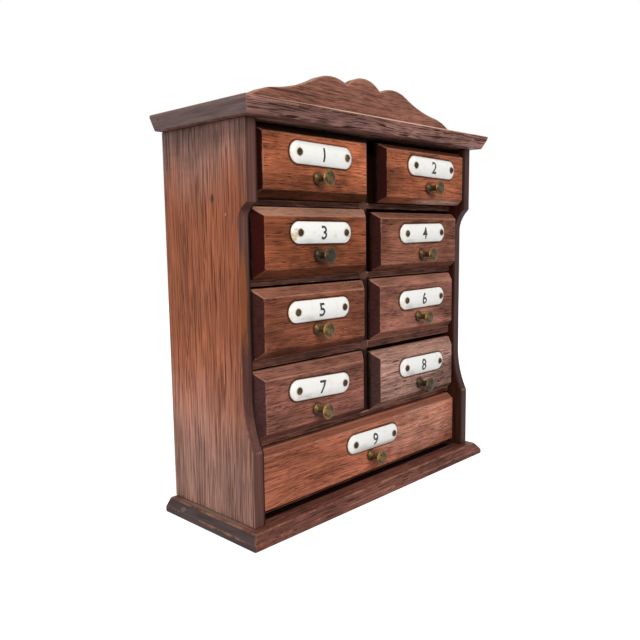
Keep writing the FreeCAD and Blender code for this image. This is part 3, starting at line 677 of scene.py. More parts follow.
def convex_of(bm):
    """The convex solid round a bmesh, which fills small bores in a convex board."""
    result = bmesh.ops.convex_hull(bm, input=bm.verts)
    spare = set(result["geom_interior"]) | set(result["geom_unused"])
    kept = set(result["geom"])
    bmesh.ops.delete(bm, geom=[v for v in spare if isinstance(v, bmesh.types.BMVert)], context="VERTS")
    loose = [f for f in bm.faces if f not in kept]
    bmesh.ops.delete(bm, geom=loose, context="FACES")
    bmesh.ops.recalc_face_normals(bm, faces=bm.faces)
    bmesh.ops.dissolve_limit(bm, angle_limit=FLAT_ANGLE, verts=bm.verts, edges=bm.edges)
    return bm


def soften(bm, radius):
    """Round every sharp edge, and return the flat faces between the roundings."""
    sharp = [e for e in bm.edges if len(e.link_faces) == 2 and e.calc_face_angle() > SHARP_ANGLE]
    made = bmesh.ops.bevel(
        bm, geom=sharp, offset=radius, offset_type="OFFSET", affect="EDGES", segments=ROUNDING_STEPS,
        profile=0.5, material=-1, clamp_overlap=True,
    )
    rounded = set(made["faces"])
    return [f for f in bm.faces if f not in rounded]


def islands(faces):
    """Groups of faces that share edges."""
    left = set(faces)
    while left:
        group = {left.pop()}
        front = list(group)
        while front:
            face = front.pop()
            for edge in face.edges:
                for other in edge.link_faces:
                    if other in left:
                        left.remove(other)
                        group.add(other)
                        front.append(other)
        yield group


def mark_edges(bm, faces, band):
    """Write how near each point is to an edge: up to 1 on the arrises, less on those that look down, and 0
    beyond a band beside them. The stronger wear on arrises that look up is partly a painted highlight."""
    near = bm.verts.layers.float.new("edge")
    bm.normal_update()
    for vert in bm.verts:
        # Arrises that look up get more wear, partly as painted highlight.
        vert[near] = min(max(0.62 + 0.6 * vert.normal.z, 0.25), 1.0)
    for group in list(islands(faces)):
        rim = sum(e.calc_length() for f in group for e in f.edges if not set(e.link_faces) <= group)
        width = 2 * sum(f.calc_area() for f in group) / max(rim, MM)
        bmesh.ops.inset_region(
            bm, faces=list(group), thickness=min(band, 0.3 * width), use_boundary=True, use_even_offset=True
        )
        for face in group:
            for vert in face.verts:
                vert[near] = 0.0


def mark_faces(bm, grain, across=None):
    """Write which faces cut across the fibres, or every face that isn't square to the axis across, and
    how far each face looks up or down."""
    cut = bm.faces.layers.float.new("end_grain")
    lean = bm.faces.layers.float.new("lean")
    for face in bm.faces:
        if across is None:
            turned_far = abs(face.normal.dot(grain)) - 0.45
        else:
            turned_far = 0.85 - abs(face.normal.dot(across))
        face[cut] = min(max(turned_far * 5.0, 0.0), 1.0)
        face[lean] = face.normal.z


def add_object(name, data):
    """A new object in the scene."""
    thing = bpy.data.objects.new(name, data)
    bpy.context.scene.collection.objects.link(thing)
    return thing


def mesh_of(name, bm):
    """A mesh with the faces of a bmesh, which is used up."""
    mesh = bpy.data.meshes.new(name)
    bm.to_mesh(mesh)
    bm.free()
    return mesh


def finish_piece(name, bm, material, body, replaced=(), smooth=True):
    """Turn a bmesh into a piece that rides on its body."""
    mesh = mesh_of(name, bm)
    for polygon in mesh.polygons:
        polygon.use_smooth = smooth
    piece = add_object(name, mesh)
    mesh.materials.append(material)
    if smooth:
        weighted = piece.modifiers.new("even_shading", "WEIGHTED_NORMAL")
        weighted.weight = 50
    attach(piece, body)
    if replaced:
        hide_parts(*replaced)
    return piece


def tighten_nose(bm, share):
    """Draw the curve under the nose of a side panel up to a share of its length, as that side was cut."""
    heights = [vert.co.z for vert in bm.verts]
    halfway = (min(heights) + max(heights)) / 2
    front = min(vert.co.y for vert in bm.verts)
    nose = min(v.co.z for v in bm.verts if v.co.y < front + 0.01 * MM and v.co.z > halfway)
    curve = [v for v in bm.verts if v.co.y < 0 and halfway < v.co.z < nose]
    bmesh.ops.scale(bm, vec=(1, 1, share), space=Matrix.Translation((0, 0, -nose)), verts=curve)


def board_piece(node, finish, body, radius, convex=True, across=None, nose=1.0):
    """A CAD board with softened edges and the marks that its finish reads."""
    wood = bpy.context.scene.cabinet_wood
    bm = solid_of(node)
    if convex:
        convex_of(bm)
    if nose < 1.0:
        tighten_nose(bm, nose)
    flats = soften(bm, radius)
    mark_edges(bm, flats, wood.worn_band)
    mark_faces(bm, AXES[finish.grain], across)
    return finish_piece(f"{node}_wood", bm, wood_material(node, finish), body, [node])


def cut_across(bm, point, normal):
    """Cut every face that a plane crosses."""
    bmesh.ops.bisect_plane(bm, geom=bm.verts[:] + bm.edges[:] + bm.faces[:], plane_co=point, plane_no=normal)


def turned(profile, axis_x, face_y, axis_z, steps=48):
    """A turned piece. The profile is pairs of a radius and a distance in front of the face."""
    bm = bmesh.new()
    points = [bm.verts.new((axis_x + radius * MM, face_y - ahead * MM, axis_z)) for radius, ahead in profile]
    line = [bm.edges.new(pair) for pair in zip(points, points[1:])]
    bmesh.ops.spin(
        bm, geom=points + line, cent=(axis_x, 0, axis_z), axis=(0, 1, 0), angle=2 * math.pi, steps=steps,
        use_merge=True,
    )
    bmesh.ops.remove_doubles(bm, verts=bm.verts, dist=MERGE_DISTANCE)
    bmesh.ops.recalc_face_normals(bm, faces=bm.faces)
    return bm


# ---------------------------------------------------------------------------------------------
# Pieces
# ---------------------------------------------------------------------------------------------
# Distance in mm from the middle of the case to the inner face of a side.
INNER_FACE = 115.8


def dress_case():
    """Base, sides, top, crest, back, divider and shelves."""
    wood = bpy.context.scene.cabinet_wood
    radius = wood.arris_radius
    dust_and_painted_light = wood.dust_colour
    dark = (0.050, 0.027, 0.020)
    base_marks = [
        Mark((-126.4, 5.0, 10.0), (2.4, 46.0, 1.6), dust_and_painted_light, 0.8, 1.2),
        Mark((-128.6, -49.5, 4.0), (1.6, 1.6, 2.0), (0.30, 0.10, 0.04), 0.7),
        Mark((-132.0, 30.0, 6.0), (2.0, 3.0, 2.0), dust_and_painted_light, 0.5, 1.4),
    ]
    top_marks = [
        Mark((-134.1, 40.9, 274.2), (1.5, 1.3, 1.2), (0.010, 0.006, 0.005), 0.9, 0.4),
        Mark((-130.7, -51.1, 278.2), (2.2, 2.2, 1.6), (0.40, 0.22, 0.15), 0.6),
        # Painted light on the upper, upright part of the cornice's end.
        Mark((-134.1, 0.0, 280.3), (3.0, 70.0, 6.0), (0.215, 0.150, 0.128), 0.55, 0.5),
    ]
    side_marks = [
        Mark((-125.0, -4.8, 220.9), (1.5, 2.1, 3.2), dark, 0.8),
        Mark((-125.0, -18.1, 210.5), (1.0, 0.8, 1.0), (0.60, 0.38, 0.28), 0.8),
        Mark((-125.0, -58.0, 140.0), (3.0, 56.0, 220.0), (0.74, 0.72, 0.72), 1.0, 0.4, wash=True),
        # Painted shadow of the cornice along the top of the side.
        Mark((-125.0, 0.0, 270.0), (3.0, 400.0, 17.0), (0.66, 0.69, 0.72), 1.0, 0.7, wash=True),
        Mark((-125.0, 24.0, 262.0), (3.0, 44.0, 24.0), (0.61, 0.62, 0.65), 0.8, 1.1, wash=True),
        Mark((-120.4, -31.0, 126.0), (6.5, 2.2, 66.0), (0.66, 0.60, 0.56), 1.0, 0.6, wash=True),
        Mark((-122.4, -31.2, 156.0), (3.6, 2.6, 40.0), (0.29, 0.085, 0.024), 0.72, 1.5),
        Mark((-120.4, -35.0, 205.0), (6.5, 4.6, 13.0), (0.60, 0.54, 0.50), 1.0, 0.8, wash=True),
        # Painted sheen across the middle of the side.
        Mark((-125.0, 2.0, 92.0), (3.0, 60.0, 42.0), (1.32, 1.34, 1.36), 0.9, 0.9, wash=True),
    ]
    crest_marks = [Mark((-72.0, -27.0, 290.6), (36.0, 4.0, 0.95), (0.055, 0.020, 0.012), 0.85, 0.7)]
    cornice = {"pore_depth": 0.95, "pore_size": 1.7, "cloudy": 1.0, "contrast": 1.2, "gloss": 0.08}
    side = {
        "wear": 0.45, "dull": 0.9, "long_fibres": 2.2, "pore_depth": 0.75, "pore_size": 1.25, "cloudy": 0.2,
        "contrast": 1.15, "ring": 3.0, "banding": 0.3,
    }
    # The rails and the divider go black behind their fronts, as painted shade in the recesses.
    plain = {"inner": 5.0, "pore_depth": 0.8, "contrast": 1.7, "cloudy": 0.9, "gloss": 0.06}
    top_low, top_high = (Vector(corner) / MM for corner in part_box("top_board"))
    top_marks.append(Mark((20.0, top_low.y, top_high.z), (130.0, 1.5, 1.1), (0.78, 0.46, 0.33), 0.9, 0.7))
    calm = {**cornice, "pore_size": 1.1, "pore_depth": 0.75, "cloudy": 0.6, "contrast": 0.9}
    wide_face = frame_front("drawer_9_front") / MM
    # Painted shadow on the base top under the wide drawer's front.
    base_marks.append(Mark(
        (0.0, wide_face + 7.0, 9.7), (112.0, 7.0, 2.5), (0.03, 0.02, 0.02), 1.0, 0.0, wash=True, square=True
    ))
    base_end, top_end = shade(wood.cornice_end_colour, 0.70), shade(wood.cornice_end_colour, 1.65)
    base = Finish(wood.base_colour, "X", 1, wear=0.36, end_stain=base_end, marks=base_marks, **calm)
    top = Finish(wood.top_colour, "X", 2, wear=0.75, end_stain=top_end, marks=top_marks, **cornice)
    board_piece("base_board", base, "cabinet", radius)
    board_piece("top_board", top, "cabinet", 0.7 * radius)
    # Node, seed, marks, how light the front edge is, kept lower on the right side as painted shade, and how
    # much of its curve under the nose a side keeps.
    sides = (("left_side_panel", 3, side_marks, 1.0, 0.33), ("right_side_panel", 4, [], 0.5, 0.6))
    for node, seed, marks, edge, nose in sides:
        inner_x = math.copysign(INNER_FACE, middle_of(node).x)
        # Painted shade: the inner face of each side is darkened, where little light comes in.
        inside = Mark((inner_x, 0.0, 135.0), (2.2, 200.0, 400.0), (0.13, 0.08, 0.06), 1.0, 0.2, wash=True)
        end_stain = shade(wood.edge_colour, edge)
        finish = Finish(wood.case_colour, "Z", seed, marks=marks + [inside], end_stain=end_stain, **side)
        board_piece(node, finish, "cabinet", radius, convex=False, across=X_AXIS, nose=nose)
    crest = Finish(wood.crest_colour, "X", 5, wear=0.85, cloudy=0.45, ring=7.5, marks=crest_marks)
    board_piece("crest_board", crest, "cabinet", radius, convex=False)
    board_piece("back_panel", Finish(shade(wood.case_colour, 0.8), "Z", 8, wear=0.3), "cabinet", radius)
    rows = ("first", "second", "third")
    crossings = []
    for row in rows:
        low, high = (Vector(corner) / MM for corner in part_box(f"{row}_shelf_left"))
        middle = (0.0, low.y, (low.z + high.z) / 2)
        half_sizes = (7.0, 3.0, (high.z - low.z) / 2 + 1.2)
        crossings.append(Mark(middle, half_sizes, (0.115, 0.052, 0.040), 0.9, 0.3))
    # The divider's stain is cut to 0.22 of the rail colour as painted shade between the drawers; the crossing
    # marks give the rail colour back where the shelves meet it.
    divider = Finish(shade(wood.rail_colour, 0.22), "Z", 9, wear=0.1, marks=crossings, **plain)
    board_piece("centre_divider", divider, "cabinet", 0.5 * radius)
    rails = ["floor_board", "wide_shelf"]
    rails += [f"{row}_shelf_{place}" for row in rows for place in ("left", "right")]
    for seed, node in enumerate(rails, start=10):
        board_piece(node, Finish(wood.rail_colour, "X", seed, wear=0.8, **plain), "cabinet", 0.6 * radius)


# The stain of each front, the stain of its ends, the tint and share laid on the bevel that looks up (painted
# sheen on most fronts, painted shadow of the cornice on the first two), and how light the bevel that looks
# down is kept, as painted shade.
FRONTS = {
    "drawer_1": ((0.450, 0.135, 0.062), (0.017, 0.0010, 0.0005), (0.008, 0.003, 0.002), 1.00, 0.36),
    "drawer_2": ((0.320, 0.098, 0.047), (0.021, 0.0018, 0.0009), (0.050, 0.017, 0.010), 0.85, 0.80),
    "drawer_3": ((0.225, 0.066, 0.030), (0.027, 0.0018, 0.0009), (0.520, 0.280, 0.190), 0.75, 0.60),
    "drawer_4": ((0.228, 0.085, 0.053), (0.033, 0.0070, 0.0055), (0.360, 0.160, 0.110), 0.35, 0.75),
    "drawer_5": ((0.240, 0.078, 0.043), (0.043, 0.0130, 0.0105), (0.420, 0.200, 0.140), 0.40, 0.80),
    "drawer_6": ((0.370, 0.150, 0.105), (0.045, 0.0130, 0.0105), (0.400, 0.200, 0.140), 0.40, 0.75),
    "drawer_7": ((0.238, 0.092, 0.066), (0.068, 0.0260, 0.0250), (0.400, 0.180, 0.120), 0.30, 0.75),
    "drawer_8": ((0.410, 0.225, 0.180), (0.060, 0.0270, 0.0240), (0.420, 0.230, 0.170), 0.40, 0.70),
    "drawer_9": ((0.450, 0.148, 0.083), (0.060, 0.0200, 0.0140), (0.240, 0.078, 0.048), 0.90, 0.03),
}

# Fronts whose grain stands out more or less than the others'.
FIGURES = {
    "drawer_7": {"sparse": 0.0},
    "drawer_8": {"sparse": 0.0, "banding": 0.9, "contrast": 1.15},
    "drawer_9": {"sparse": 0.01, "cloudy": 0.6, "pore_depth": 0.75},
}


def front_marks(drawer, low, high, knob):
    """Painted shade on the back edges of a front, where they stand in the gaps, a painted contact shadow
    round its knob, and the mark that only it has. The corners of the front and the middle of the knob are in
    mm."""
    shadow = shade(bpy.context.scene.cabinet_wood.pore_colour, SHADOW)
    middle = (low + high) / 2
    # Painted shade on the back edges of the front, which stand in the gaps.
    marks = [Mark((x, high.y, middle.z), (2.0, 6.2, 400.0), shadow, 0.9, 0.2) for x in (low.x, high.x)]
    own = {
        # Painted shadow of the cornice over the top of the first front.
        "drawer_1": Mark(
            (middle.x, high.y, high.z - 1.4), (400.0, 400.0, 3.3), (0.020, 0.008, 0.006), 1.0, 0.1
        ),
        # Painted reflection lightening the bottom bevel of the second front.
        "drawer_2": Mark(
            (high.x - 34, low.y + 2, low.z), (52.0, 6.0, 4.4), (1.9, 3.6, 6.0), 1.0, 0.5, wash=True
        ),
        "drawer_9": Mark(
            (high.x - 50, low.y, low.z + 20), (62.0, 8.0, 22.0), (1.18, 1.52, 1.82), 1.0, 0.8, wash=True
        ),
    }
    if drawer in own:
        marks.append(own[drawer])
    # Painted contact shadow round the knob.
    marks.append(Mark((knob.x, low.y, knob.z), (5.8, 9.0, 5.8), (0.30, 0.26, 0.25), 1.0, 0.2, wash=True))
    return marks


def dress_fronts():
    """Bevelled drawer fronts, each from its own board."""
    wood = bpy.context.scene.cabinet_wood
    for seed, (drawer, (stain, end_stain, top_paint_tint, wear_and_painted_light, under)) in enumerate(FRONTS.items(), start=31):
        node = f"{drawer}_front"
        low, high = (Vector(corner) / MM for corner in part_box(node))
        knob = middle_of(f"{drawer}_knob") / MM
        figure = {"pore_depth": 0.8, "pore_size": 0.87, "sparse": 0.02, "cloudy": 1.0, "banding": 0.6}
        figure.update(FIGURES.get(drawer, {}))
        finish = Finish(
            stain, "X", seed, wear=0.6, end_stain=end_stain, dusty=wear_and_painted_light, dust_tint=top_paint_tint, under=under,
            marks=front_marks(drawer, low, high, knob), gloss=0.05, plate=Plate(drawer), **figure,
        )
        board_piece(node, finish, drawer, wood.front_radius)


def dress_boxes():
    """Plain boards of the drawer boxes."""
    wood = bpy.context.scene.cabinet_wood
    for seed, drawer in enumerate(DRAWERS, start=51):
        node = f"{drawer}_box"
        bm = solid_of(node)
        mark_edges(bm, bm.faces[:], wood.worn_band)
        mark_faces(bm, Z_AXIS)
        front = middle_of(node) / MM
        front.y = frame_front(node) / MM
        # Painted shade on the box just behind the front, where it shows in the gaps.
        shade_behind_front = Mark(front, (400.0, 8.0, 400.0), shade(wood.pore_colour, 0.4), 0.94, 0.3)
        finish = Finish(wood.bare_colour, "Y", seed, wear=0.3, pore_depth=0.4, gloss=0.05, marks=[shade_behind_front])
        material = wood_material(node, finish)
        finish_piece(f"{node}_wood", bm, material, drawer, [node], smooth=False)


# Pairs of a radius and a distance in front of the drawer front, in mm, from the stud to the knob's face.
KNOB_PROFILE = (
    (0.0, -8.0), (1.4, -8.0), (1.4, 0.0), (3.9, 0.0), (4.1, 0.25), (4.1, 1.2), (3.85, 1.65), (3.3, 1.9),
    (2.7, 2.05), (2.35, 2.6), (2.2, 3.6), (2.2, 5.2), (2.35, 6.3), (2.75, 7.5), (3.4, 8.6), (4.25, 9.55),
    (5.05, 10.2), (5.5, 10.6), (5.68, 10.95), (5.64, 11.25), (5.4, 11.5), (4.9, 11.68), (4.0, 11.9),
    (2.8, 12.1), (1.4, 12.22), (0.0, 12.26),
)
# How much brown film each knob has kept, from the first drawer to the last.
KNOB_FILMS = (0.62, 0.66, 0.73, 0.64, 0.60, 0.62, 0.57, 0.69, 0.59)
GREY_KNOBS = ("drawer_3", "drawer_8")
GREY_TINT = (0.72, 0.88, 1.15)
RUB_START, RUB_END = 3.2, 5.6  # mm from the axis of a knob
STUD_LENGTH = 8 * MM


def dress_knobs():
    """Turned knobs: a collar on the drawer front, a waisted neck and a low domed disc with a rim."""
    for film, drawer in zip(KNOB_FILMS, DRAWERS):
        node = f"{drawer}_knob"
        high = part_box(node)[1]
        middle = middle_of(node)
        tint = GREY_TINT if drawer in GREY_KNOBS else WHITE
        material = brass_material(f"{node}_finish", middle, film, RUB_START, RUB_END, tint)
        bm = turned(KNOB_PROFILE, middle.x, high[1] - STUD_LENGTH, middle.z)
        finish_piece(f"{node}_brass", bm, material, drawer, [node])


def span(values):
    """The middle of some numbers, and half of what they span."""
    low, high = min(values), max(values)
    return (low + high) / 2, (high - low) / 2


class Plate:
    """Where a label lies and how it leans, worked out from the CAD label and its two screws."""

    half_width = 7.35 * MM
    crown = 2.2 * MM
    crown_radius = (half_width ** 2 + crown ** 2) / (2 * crown)

    def __init__(self, drawer):
        face_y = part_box(f"{drawer}_label")[0][1]
        heads = [vert.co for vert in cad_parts[f"{drawer}_label_screws"].data.vertices]
        self.screw_face = min(point.y for point in heads)
        centre = span([point.x for point in heads])[0]
        self.screws = []
        for side in (-1, 1):
            own = [point for point in heads if (point.x - centre) * side > 0]
            x, z = span([point.x for point in own])[0], span([point.z for point in own])[0]
            self.screws.append(Vector((x, face_y, z)))
        left, right = self.screws
        self.along = (right - left).normalized()
        self.up = Vector((-self.along.z, 0, self.along.x))
        self.tilt = math.atan2(self.along.z, self.along.x)
        self.half_spacing = (right - left).length / 2
        points = [vert.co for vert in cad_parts[f"{drawer}_label"].data.vertices]
        aside, reach = span([point.dot(self.along) for point in points])
        above = span([point.dot(self.up) for point in points])[0]
        self.middle = self.along * aside + self.up * above
        self.middle.y = face_y
        self.half_straight = reach - self.half_width

    def on_crown(self, aside, above, proud):
        """The point of the domed face that lies so far aside and above of the middle."""
        fall = self.crown_radius - math.sqrt(self.crown_radius ** 2 - above ** 2)
        return self.middle + self.along * aside + self.up * above + Y_AXIS * (fall - proud)


def dress_labels():
    """Enamelled plates with a domed face."""
    for drawer in DRAWERS:
        node = f"{drawer}_label"
        stains = 0.8 if drawer == "drawer_3" else 0.22
        material = enamel_material(f"{node}_finish", Plate(drawer), stains)
        bm = bmesh.new()
        bm.from_mesh(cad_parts[node].data)
        bmesh.ops.remove_doubles(bm, verts=bm.verts, dist=MERGE_DISTANCE)
        piece = finish_piece(f"{node}_enamel", bm, material, drawer, [node])
        piece.data.set_sharp_from_angle(angle=CREASE_ANGLE)


# Height of a digit as a share of the font's size, how tall the strips are that a number is cut into to
# follow the crown, how many lie over its middle, and how far a number reaches into its plate.
DIGIT_SHARE = 0.7
STRIP = 0.75 * MM
STRIPS = 6
NUMBER_DEPTH = 0.1 * MM


def dress_numbers():
    """A black number in the middle of each label, laid over its crown."""
    enamel = bpy.context.scene.cabinet_enamel
    material = number_material()
    for number, drawer in enumerate(DRAWERS, start=1):
        plate = Plate(drawer)
        writing = bpy.data.curves.new("number", "FONT")
        writing.body = str(number)
        writing.align_x = "CENTER"
        writing.size = enamel.number_height / DIGIT_SHARE
        writing.offset = enamel.number_stroke / 2
        holder = add_object("number", writing)
        flat = bpy.data.meshes.new_from_object(holder.evaluated_get(bpy.context.evaluated_depsgraph_get()))
        bpy.data.objects.remove(holder)
        bpy.data.curves.remove(writing)
        bm = bmesh.new()
        bm.from_mesh(flat)
        bpy.data.meshes.remove(flat)
        middle = span([vert.co.y for vert in bm.verts])[0]
        for step in range(-STRIPS, STRIPS + 1):
            cut_across(bm, (0, middle + step * STRIP, 0), Y_AXIS)
        for vert in bm.verts:
            vert.co = plate.on_crown(vert.co.x, vert.co.y - middle, enamel.number_film)
        raised = bmesh.ops.extrude_face_region(bm, geom=bm.faces[:])
        moved = [item for item in raised["geom"] if isinstance(item, bmesh.types.BMVert)]
        bmesh.ops.translate(bm, verts=moved, vec=(0, NUMBER_DEPTH, 0))
        bmesh.ops.remove_doubles(bm, verts=bm.verts, dist=TOUCHING)
        bmesh.ops.recalc_face_normals(bm, faces=bm.faces)
        finish_piece(f"{drawer}_label_number", bm, material, drawer, smooth=False)


# Pairs of a radius and a distance in front of a screw's seat, in mm, from its shank to the top of its head.
SCREW_PROFILE = (
    (0.0, -8.2), (1.0, -8.2), (1.0, 0.0), (2.15, 0.0), (2.3, 0.12), (2.3, 0.28), (2.1, 0.5), (1.7, 0.72),
    (1.1, 0.89), (0.55, 0.97), (0.0, 1.0),
)
HEAD_HEIGHT = 1 * MM
SCREW_FILM = 0.86
# How far each slot is turned, in degrees, two to a label.
SLOT_TURNS = (80, 15, 20, 62, 5, 130, 100, 35, 150, 70, 10, 95, 48, 165, 60, 120, 88, 25)


def cut_slot(bm, middle, floor_y, turn):
    """A slot across a screw's head, down to the depth floor_y."""
    metal = bpy.context.scene.cabinet_metal
    side = Vector((math.cos(turn), 0, math.sin(turn)))
    reach = metal.slot_width / 2
    planes = ((middle + side * reach, side), (middle - side * reach, side), (Vector((0, floor_y, 0)), Y_AXIS))
    for point, normal in planes:
        cut_across(bm, point, normal)
    middles = {face: face.calc_center_median() for face in bm.faces}
    inside = [f for f, spot in middles.items() if abs((spot - middle).dot(side)) < reach and spot.y < floor_y]
    bmesh.ops.delete(bm, geom=inside, context="FACES")
    rims = [e for e in bm.edges if e.is_boundary]
    for way in (1, -1):
        wall = [
            e for e in rims if all(abs((v.co - middle).dot(side) * way - reach) < TOUCHING for v in e.verts)
        ]
        ends = [v for v in {v for e in wall for v in e.verts} if abs(v.co.y - floor_y) < TOUCHING]
        closing = bmesh.ops.contextual_create(bm, geom=ends)["edges"]
        bmesh.ops.contextual_create(bm, geom=wall + closing)
    bmesh.ops.holes_fill(bm, edges=[e for e in bm.edges if e.is_boundary])
    bmesh.ops.recalc_face_normals(bm, faces=bm.faces)


def dress_screws():
    """Slotted round heads, each slot left at its own angle."""
    metal = bpy.context.scene.cabinet_metal
    for index, drawer in enumerate(DRAWERS):
        plate = Plate(drawer)
        pair = bmesh.new()
        for way, screw in enumerate(plate.screws):
            bm = turned(SCREW_PROFILE, screw.x, plate.screw_face + HEAD_HEIGHT, screw.z, steps=28)
            turn = math.radians(SLOT_TURNS[2 * index + way])
            cut_slot(bm, Vector((screw.x, 0, screw.z)), plate.screw_face + metal.slot_depth, turn)
            half = mesh_of("screw", bm)
            pair.from_mesh(half)
            bpy.data.meshes.remove(half)
        material = brass_material(f"{drawer}_screw_finish", (0, 0, 0), SCREW_FILM, 0.0, 1.0)
        piece = finish_piece(f"{drawer}_label_screw_pair", pair, material, drawer, [f"{drawer}_label_screws"])
        piece.data.set_sharp_from_angle(angle=CREASE_ANGLE)


# ---------------------------------------------------------------------------------------------
# Stage
# ---------------------------------------------------------------------------------------------
FLOOR_DROP = 0.2 * MM  # how far the floor lies under the cabinet
SENSOR_WIDTH = 36.0
CAMERA_SHIFT = (0.0026, 0.0025)


def build_floor(stage):
    """Pale floor that shows white to the camera and in reflections, and keeps the cabinet's shadow."""
    bm = bmesh.new()
    bmesh.ops.create_grid(bm, x_segments=1, y_segments=1, size=stage.floor_size / 2)
    floor = add_object("floor", mesh_of("floor", bm))
    floor.location.z = -FLOOR_DROP
    material = bpy.data.materials.new("floor_finish")
    nodes = empty_tree(material)
    paint = nodes.add("ShaderNodeBsdfDiffuse", Color=(stage.floor_paint,) * 3).outputs[0]
    glow = nodes.add("ShaderNodeEmission", Color=WHITE, Strength=stage.floor_glow).outputs[0]
    both = nodes.make("ShaderNodeAddShader", paint, glow).outputs[0]
    choice = nodes.make("ShaderNodeMixShader", nodes.seen(), paint, both).outputs[0]
    nodes.add("ShaderNodeOutputMaterial", Surface=choice)
    floor.data.materials.append(material)


def build_world(stage):
    """Even light from all sides, and plain white behind the cabinet."""
    world = bpy.data.worlds.new("soft_room")
    bpy.context.scene.world = world
    nodes = empty_tree(world)
    strength = nodes.ramp(nodes.seen(), 0.0, 1.0, stage.world_light, 1.0, smooth=False)
    back = nodes.add("ShaderNodeBackground", Color=WHITE, Strength=strength).outputs[0]
    nodes.add("ShaderNodeOutputWorld", Surface=back)


def add_lamp(name, power, size, place, target):
    """A large square soft lamp that faces a point."""
    lamp = bpy.data.lights.new(name, "AREA")
    lamp.energy = power
    lamp.size = size
    lamp.shape = "SQUARE"
    holder = add_object(name, lamp)
    away = Vector(place) - Vector(target)
    holder.matrix_world = Matrix.Translation(place) @ away.to_track_quat("Z", "Y").to_matrix().to_4x4()


def build_camera(stage):
    """Camera in front of the left side, a little above the middle."""
    camera = bpy.data.cameras.new("view")
    camera.sensor_width = SENSOR_WIDTH
    camera.lens = stage.lens
    camera.shift_x, camera.shift_y = CAMERA_SHIFT
    camera.clip_start = 0.01
    holder = add_object("view", camera)
    flat = math.cos(stage.pitch)
    ahead = Vector((-math.sin(stage.yaw) * flat, math.cos(stage.yaw) * flat, math.sin(stage.pitch)))
    level = Vector((math.cos(stage.yaw), math.sin(stage.yaw), 0.0))
    upright = level.cross(ahead)
    right = math.cos(stage.roll) * level + math.sin(stage.roll) * upright
    up = right.cross(ahead)
    turn = Matrix((right, up, -ahead)).transposed().to_4x4()
    holder.matrix_world = Matrix.Translation(stage.position) @ turn
    bpy.context.scene.camera = holder


# ---------------------------------------------------------------------------------------------
# Operators
# ---------------------------------------------------------------------------------------------
class CABINET_OT_case(bpy.types.Operator):
    """Dress the boards of the case"""

    bl_idname = "cabinet.case"
    bl_label = "Case boards"
    bl_options = {"REGISTER", "UNDO"}

    def execute(self, context):
        dress_case()
        return {"FINISHED"}


class CABINET_OT_fronts(bpy.types.Operator):
    """Dress the bevelled drawer fronts"""

    bl_idname = "cabinet.fronts"
    bl_label = "Drawer fronts"
    bl_options = {"REGISTER", "UNDO"}

    def execute(self, context):
        dress_fronts()
        return {"FINISHED"}


class CABINET_OT_boxes(bpy.types.Operator):
    """Dress the boxes behind the drawer fronts"""

    bl_idname = "cabinet.boxes"
    bl_label = "Drawer boxes"
    bl_options = {"REGISTER", "UNDO"}

    def execute(self, context):
        dress_boxes()
        return {"FINISHED"}


class CABINET_OT_knobs(bpy.types.Operator):
    """Dress the turned brass knobs"""

    bl_idname = "cabinet.knobs"
    bl_label = "Knobs"
    bl_options = {"REGISTER", "UNDO"}

    def execute(self, context):
        dress_knobs()
        return {"FINISHED"}


class CABINET_OT_labels(bpy.types.Operator):
    """Dress the enamelled labels"""

    bl_idname = "cabinet.labels"
    bl_label = "Labels"
    bl_options = {"REGISTER", "UNDO"}

    def execute(self, context):
        dress_labels()
        return {"FINISHED"}


class CABINET_OT_numbers(bpy.types.Operator):
    """Lay the numbers on the labels"""

    bl_idname = "cabinet.numbers"
    bl_label = "Label numbers"
    bl_options = {"REGISTER", "UNDO"}

    def execute(self, context):
        dress_numbers()
        return {"FINISHED"}


class CABINET_OT_screws(bpy.types.Operator):
    """Make the slotted screws of the labels"""

    bl_idname = "cabinet.screws"
    bl_label = "Label screws"
    bl_options = {"REGISTER", "UNDO"}

    def execute(self, context):
        dress_screws()
        return {"FINISHED"}


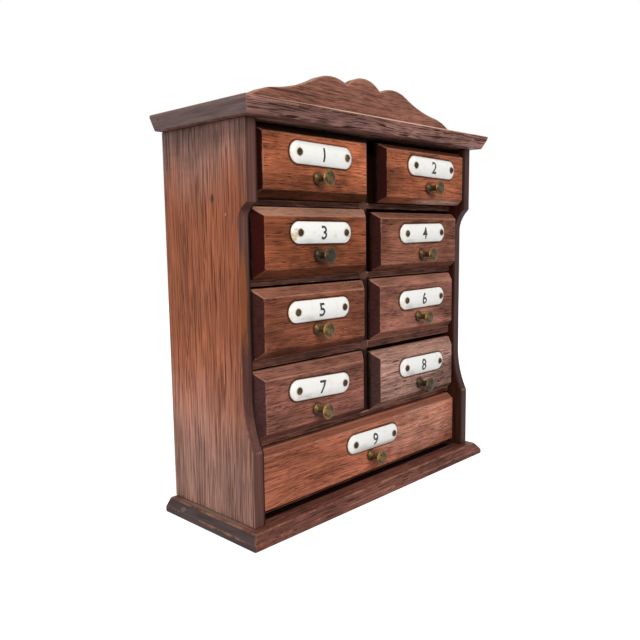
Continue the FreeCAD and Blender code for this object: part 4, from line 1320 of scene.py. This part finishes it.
class CABINET_OT_stage(bpy.types.Operator):
    """Set the floor, the lamps and the camera"""

    bl_idname = "cabinet.stage"
    bl_label = "Stage"
    bl_options = {"REGISTER", "UNDO"}

    def execute(self, context):
        stage = context.scene.cabinet_stage
        build_floor(stage)
        build_world(stage)
        middle = (Vector(cad_box[0]) + Vector(cad_box[1])) / 2
        add_lamp("key_lamp", stage.key_light, 1.1, (-0.55, -1.15, 0.85), middle)
        add_lamp("fill_lamp", stage.fill_light, 0.8, (-1.2, -0.1, 0.45), middle)
        add_lamp("back_lamp", stage.back_light, 1.0, (1.0, 1.0, 0.6), middle)
        build_camera(stage)
        context.scene.view_settings.view_transform = "Standard"
        return {"FINISHED"}


class CABINET_PT_steps(bpy.types.Panel):
    """The steps of the dressing"""

    bl_idname = "CABINET_PT_steps"
    bl_label = "Spice drawer cabinet"
    bl_space_type = "VIEW_3D"
    bl_region_type = "UI"
    bl_category = "Spice cabinet"

    def draw(self, context):
        for step in STEPS:
            self.layout.operator(step.bl_idname)
        for name, group in SETTINGS.items():
            settings = getattr(context.scene, name)
            for prop in group.__annotations__:
                self.layout.prop(settings, prop)


STEPS = (
    CABINET_OT_case,
    CABINET_OT_fronts,
    CABINET_OT_boxes,
    CABINET_OT_knobs,
    CABINET_OT_labels,
    CABINET_OT_numbers,
    CABINET_OT_screws,
    CABINET_OT_stage,
)


def register():
    for group in SETTINGS.values():
        bpy.utils.register_class(group)
    for step in STEPS:
        bpy.utils.register_class(step)
    bpy.utils.register_class(CABINET_PT_steps)
    for name, group in SETTINGS.items():
        setattr(bpy.types.Scene, name, PointerProperty(type=group))


def unregister():
    for name in SETTINGS:
        delattr(bpy.types.Scene, name)
    bpy.utils.unregister_class(CABINET_PT_steps)
    for step in reversed(STEPS):
        bpy.utils.unregister_class(step)
    for group in reversed(SETTINGS.values()):
        bpy.utils.unregister_class(group)


def main():
    register()
    bpy.ops.cabinet.case()
    bpy.ops.cabinet.fronts()
    bpy.ops.cabinet.boxes()
    bpy.ops.cabinet.knobs()
    bpy.ops.cabinet.labels()
    bpy.ops.cabinet.numbers()
    bpy.ops.cabinet.screws()
    bpy.ops.cabinet.stage()


if __name__ == "__main__":
    main()
